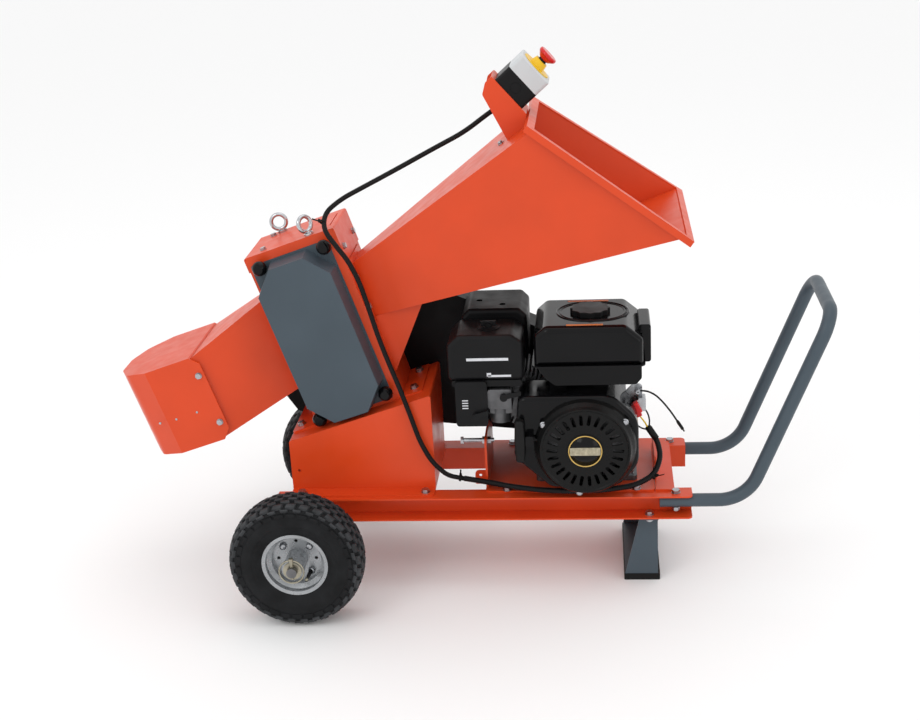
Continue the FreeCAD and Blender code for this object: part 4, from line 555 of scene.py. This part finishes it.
HOOD_RIVETS = ((-278.1, 328.7), (-245.5, 336.4), (-203.9, 350.2))  # (x, z)
HOOD_Y = -87.0  # near face of the hood at the chute's end
ROOF_UP = (-0.597, 0, 0.802)  # square to the hopper's roof


def sheet_details():
    """Rivets of the hood and the two bolts by the stop's bracket on the hopper's roof."""
    for k, (x, z) in enumerate(HOOD_RIVETS):
        dome("hood_rivet_%d" % k, (x, HOOD_Y, z), FRONT, 2.4, 1.2, "zinc", "machine")
    hex_bolt("bracket_bolt_foot", (416.0, 27.0, 851.6), ROOF_UP)
    hex_bolt("bracket_bolt_roof", (388.3, -0.6, 828.0), ROOF_UP)


# ---------------------------------------------------------------- cords

BEND_SHARE = 0.45  # share of the shorter run beside a corner that its bend takes
ARC_STEP = 4  # millimetres between points of a bend
RIB_PERIOD = 4  # rings to one rib of a conduit, half of them wide


def route(points):
    """Points of straight runs joined by tangent arcs, in millimetres."""
    pts = [Vector(p) for p in points]
    out = [pts[0]]
    for i in range(1, len(pts) - 1):
        back, ahead = pts[i - 1] - pts[i], pts[i + 1] - pts[i]
        reach = BEND_SHARE * min(back.length, ahead.length)
        half = back.angle(ahead) / 2
        radius = reach * math.tan(half)
        inward = (back.normalized() + ahead.normalized()).normalized()
        middle = pts[i] + inward * (radius / math.sin(half))
        first = pts[i] + back.normalized() * reach - middle
        last = pts[i] + ahead.normalized() * reach - middle
        sweep = first.angle(last)
        normal = first.cross(last).normalized()
        steps = max(3, int(sweep * radius / ARC_STEP))
        for k in range(steps + 1):
            turn = Matrix.Rotation(sweep * k / steps, 3, normal)
            out.append(middle + turn @ first)
    out.append(pts[-1])
    return out


def resample(points, step):
    """Evenly spaced points along a polyline, ends kept, and the polyline's length."""
    lengths = [(b - a).length for a, b in zip(points, points[1:])]
    total = sum(lengths)
    count = max(2, round(total / step))
    out, i, passed = [], 0, 0.0
    for k in range(count + 1):
        want = total * k / count
        while i < len(lengths) - 1 and passed + lengths[i] < want:
            passed += lengths[i]
            i += 1
        share = (want - passed) / lengths[i] if lengths[i] else 0
        out.append(points[i].lerp(points[i + 1], min(1.0, share)))
    return out, total


def tube_mesh(name, points, radius, step, look, body, ring=14, ribs=0.0):
    """Round tube along points (mm), with ribs that high; returns piece, path and length."""
    path, total = resample(points, step)
    verts, faces, uvs = [], [], []
    normal = None
    for i, p in enumerate(path):
        ahead = (path[min(i + 1, len(path) - 1)] - path[max(i - 1, 0)]).normalized()
        if normal is None:
            normal = ahead.orthogonal().normalized()
        normal = (normal - ahead * normal.dot(ahead)).normalized()
        other = ahead.cross(normal)
        r = radius - (ribs if i % RIB_PERIOD >= RIB_PERIOD / 2 else 0.0)
        for k in range(ring):
            a = 2 * math.pi * k / ring
            v = p + normal * (r * math.cos(a)) + other * (r * math.sin(a))
            verts.append(world(*v))
            uvs.append((k / ring, i * step * MM))
    for i in range(len(path) - 1):
        for k in range(ring):
            n = (k + 1) % ring
            faces.append((i * ring + k, i * ring + n, (i + 1) * ring + n, (i + 1) * ring + k))
    faces.append(tuple(range(ring))[::-1])
    faces.append(tuple((len(path) - 1) * ring + k for k in range(ring)))
    obj = add_mesh(name, verts, faces, look, body, uvs=uvs)
    return obj, [world(*p) for p in path], total * MM


BRAID_TURNS, BRAID_ALONG = 6.0, 260.0  # strands round the sleeve, and along a metre of it


def braid_material():
    """Woven black sleeve: two crossing helices in the tube's own coordinates."""
    mat, nodes, links, shader, _ = node_material("braided_sleeve")
    shader.inputs["Roughness"].default_value = 0.55
    shader.inputs["IOR"].default_value = 1.2
    uv = nodes.new("ShaderNodeUVMap")
    uv.uv_map = "UVMap"
    heights = []
    for tilt in (1, -1):
        mapping = nodes.new("ShaderNodeMapping")
        mapping.inputs["Scale"].default_value = (BRAID_TURNS * tilt, BRAID_ALONG, 1.0)
        links.new(uv.outputs["UV"], mapping.inputs["Vector"])
        wave = nodes.new("ShaderNodeTexWave")
        wave.wave_type = "BANDS"
        wave.bands_direction = "DIAGONAL"
        wave.inputs["Scale"].default_value = 0.6
        links.new(mapping.outputs["Vector"], wave.inputs["Vector"])
        heights.append(wave.outputs["Fac"])
    join = nodes.new("ShaderNodeMath")
    join.operation = "MAXIMUM"
    for height, socket in zip(heights, join.inputs):
        links.new(height, socket)
    weave = join.outputs[0]
    links.new(ramp(nodes, links, weave, (0.002, 0.002, 0.002), (0.014, 0.013, 0.013)),
              shader.inputs["Base Color"])
    bump(nodes, links, shader, weave, 0.6, 0.0006)
    return mat


# corners of each cord's route in millimetres, traced from the photograph
CONTROL_CABLE = [
    (396, 17, 899), (366, 15, 880), (322, 5, 850), (262, -6, 822), (200, -18, 792),
    (142, -29, 765), (98, -40, 745), (68, -56, 724), (68, -84, 700), (90, -94, 672),
    (110, -93, 643), (127, -91, 602), (140, -90, 553), (153, -91, 500), (169, -94, 450),
    (188, -99, 398), (205, -103, 345), (220, -104, 292), (240, -104, 250), (268, -100, 219),
    (298, -96, 211),
]
ENGINE_LOOM = [
    (299.5, -96, 211), (340, -105, 208), (396, -124, 205), (452, -133, 202), (508, -135.5, 201),
    (566, -131, 201), (620, -117, 203), (656, -98, 216), (668, -84, 246), (662, -77, 276),
    (646, -74, 300),
]
LOOSE_WIRE = [
    (631.5, -72, 374), (644, -74, 374), (659, -76, 367), (673, -76, 352), (687, -73, 332),
    (700, -70, 310),
]


def cords():
    """The three cords over their CAD nodes, with ties, leads, tape and plug."""
    MATS["braid"] = braid_material()
    cable, path, length = tube_mesh("control_cable_sleeve", route(CONTROL_CABLE), 4.5, 3.0,
                                    "braid", "machine")
    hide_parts("control_cable")
    ties = [tie("tie_eye", (66, -72, 711), (0, -0.75, -0.65), 4.6, (-0.9, 0.1, 0.3)),
            tie("tie_join", (292, -97, 212.5), (0.95, 0.1, -0.3), 5.4, (0.1, -0.3, 1))]
    loom, path, length = tube_mesh("engine_loom_conduit", route(ENGINE_LOOM), 5.5, 0.85,
                                   "satin", "machine", ribs=0.7)
    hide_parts("engine_loom")
    straps = [tie("tie_right", (652, -100, 213), (0.75, 0.45, 0.5), 5.6, (0.9, -0.2, 0.3))]
    straps + wiring()
    wire, path, length = tube_mesh("loose_wire_lead", route(LOOSE_WIRE), 1.7, 2.0,
                                   "tie", "machine", ring=10)
    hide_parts("loose_wire")
    wire_end = world(*LOOSE_WIRE[-1])
    plug = lathe("loose_wire_plug", [(-2, 0), (-2, 2.6), (2, 3.0), (18, 3.0), (18, 1.4),
                                     (24, 1.4), (24, 0)],
                 wire_end, wire_end - world(*LOOSE_WIRE[-2]), "tie", "machine", 20)


# ---------------------------------------------------------------- stage

SKY_STRENGTH = 1.02
FLOOR_HALF = 30
FLOOR_COLOR, FLOOR_ROUGH = (0.92, 0.92, 0.92, 1), 0.9
LAMP_AIM = Vector((0, 0, 0.45))
# name, place and width in metres, power in watts
LAMPS = (("key", (-1.8, -2.6, 3.0), 1.6, 20), ("top", (0.3, 0.4, 3.4), 2.4, 12),
         ("fill", (3.0, -1.8, 1.4), 1.6, 8))


def studio():
    """White surroundings, a white floor and three soft lamps."""
    scene = bpy.context.scene
    scene.view_settings.view_transform = "Standard"
    scene.view_settings.look = "None"
    world_data = bpy.data.worlds.new("studio")
    scene.world = world_data
    world_data.use_nodes = True
    back = world_data.node_tree.nodes["Background"]
    back.inputs["Color"].default_value = (1.0, 1.0, 1.0, 1)
    back.inputs["Strength"].default_value = SKY_STRENGTH
    mesh = bpy.data.meshes.new("floor")
    mesh.from_pydata([(x * FLOOR_HALF, y * FLOOR_HALF, 0)
                      for x, y in ((-1, -1), (1, -1), (1, 1), (-1, 1))], [], [(0, 1, 2, 3)])
    floor = bpy.data.objects.new("floor", mesh)
    scene.collection.objects.link(floor)
    mat = bpy.data.materials.new("floor_white")
    mat.use_nodes = True
    shader = mat.node_tree.nodes["Principled BSDF"]
    shader.inputs["Base Color"].default_value = FLOOR_COLOR
    shader.inputs["Roughness"].default_value = FLOOR_ROUGH
    mesh.materials.append(mat)
    for name, place, size, energy in LAMPS:
        data = bpy.data.lights.new(name, "AREA")
        data.energy = energy
        data.size = size
        lamp = bpy.data.objects.new(name, data)
        lamp.location = place
        aim = LAMP_AIM - Vector(place)
        lamp.rotation_euler = aim.to_track_quat("-Z", "Y").to_euler()
        scene.collection.objects.link(lamp)


# the camera that was fitted to the photograph
PHOTO_WIDTH = 920  # pixels
FOCAL_LENGTH = 1464.3  # pixels
SENSOR = 36.0  # millimetres
CAMERA_PLACE = (561.8, -2600.3, 1381.1)
CAMERA_RIGHT = Vector((0.99518, 0.08398, -0.05072))
CAMERA_UP = Vector((0.01818, 0.35016, 0.93652))


def camera():
    """The photograph's view: a little right of square-on, 20 degrees up, rolled a little."""
    data = bpy.data.cameras.new("camera")
    data.sensor_width = SENSOR
    data.lens = FOCAL_LENGTH / PHOTO_WIDTH * SENSOR
    data.clip_end = 100
    obj = bpy.data.objects.new("camera", data)
    back = CAMERA_RIGHT.cross(CAMERA_UP)
    turn = Matrix((CAMERA_RIGHT, CAMERA_UP, back)).transposed().to_4x4()
    obj.matrix_world = Matrix.Translation(world(*CAMERA_PLACE)) @ turn
    bpy.context.scene.collection.objects.link(obj)
    bpy.context.scene.camera = obj


dress_cad()
tyre("tyre_near_tread", "tyre_near", "wheel_near", -1)
tyre("tyre_far_tread", "tyre_far", "wheel_far", 1)
wheel_fittings("near", "wheel_near", -1)
wheel_fittings("far", "wheel_far", 1)
engine_details()
sheet_details()
cords()
studio()
camera()
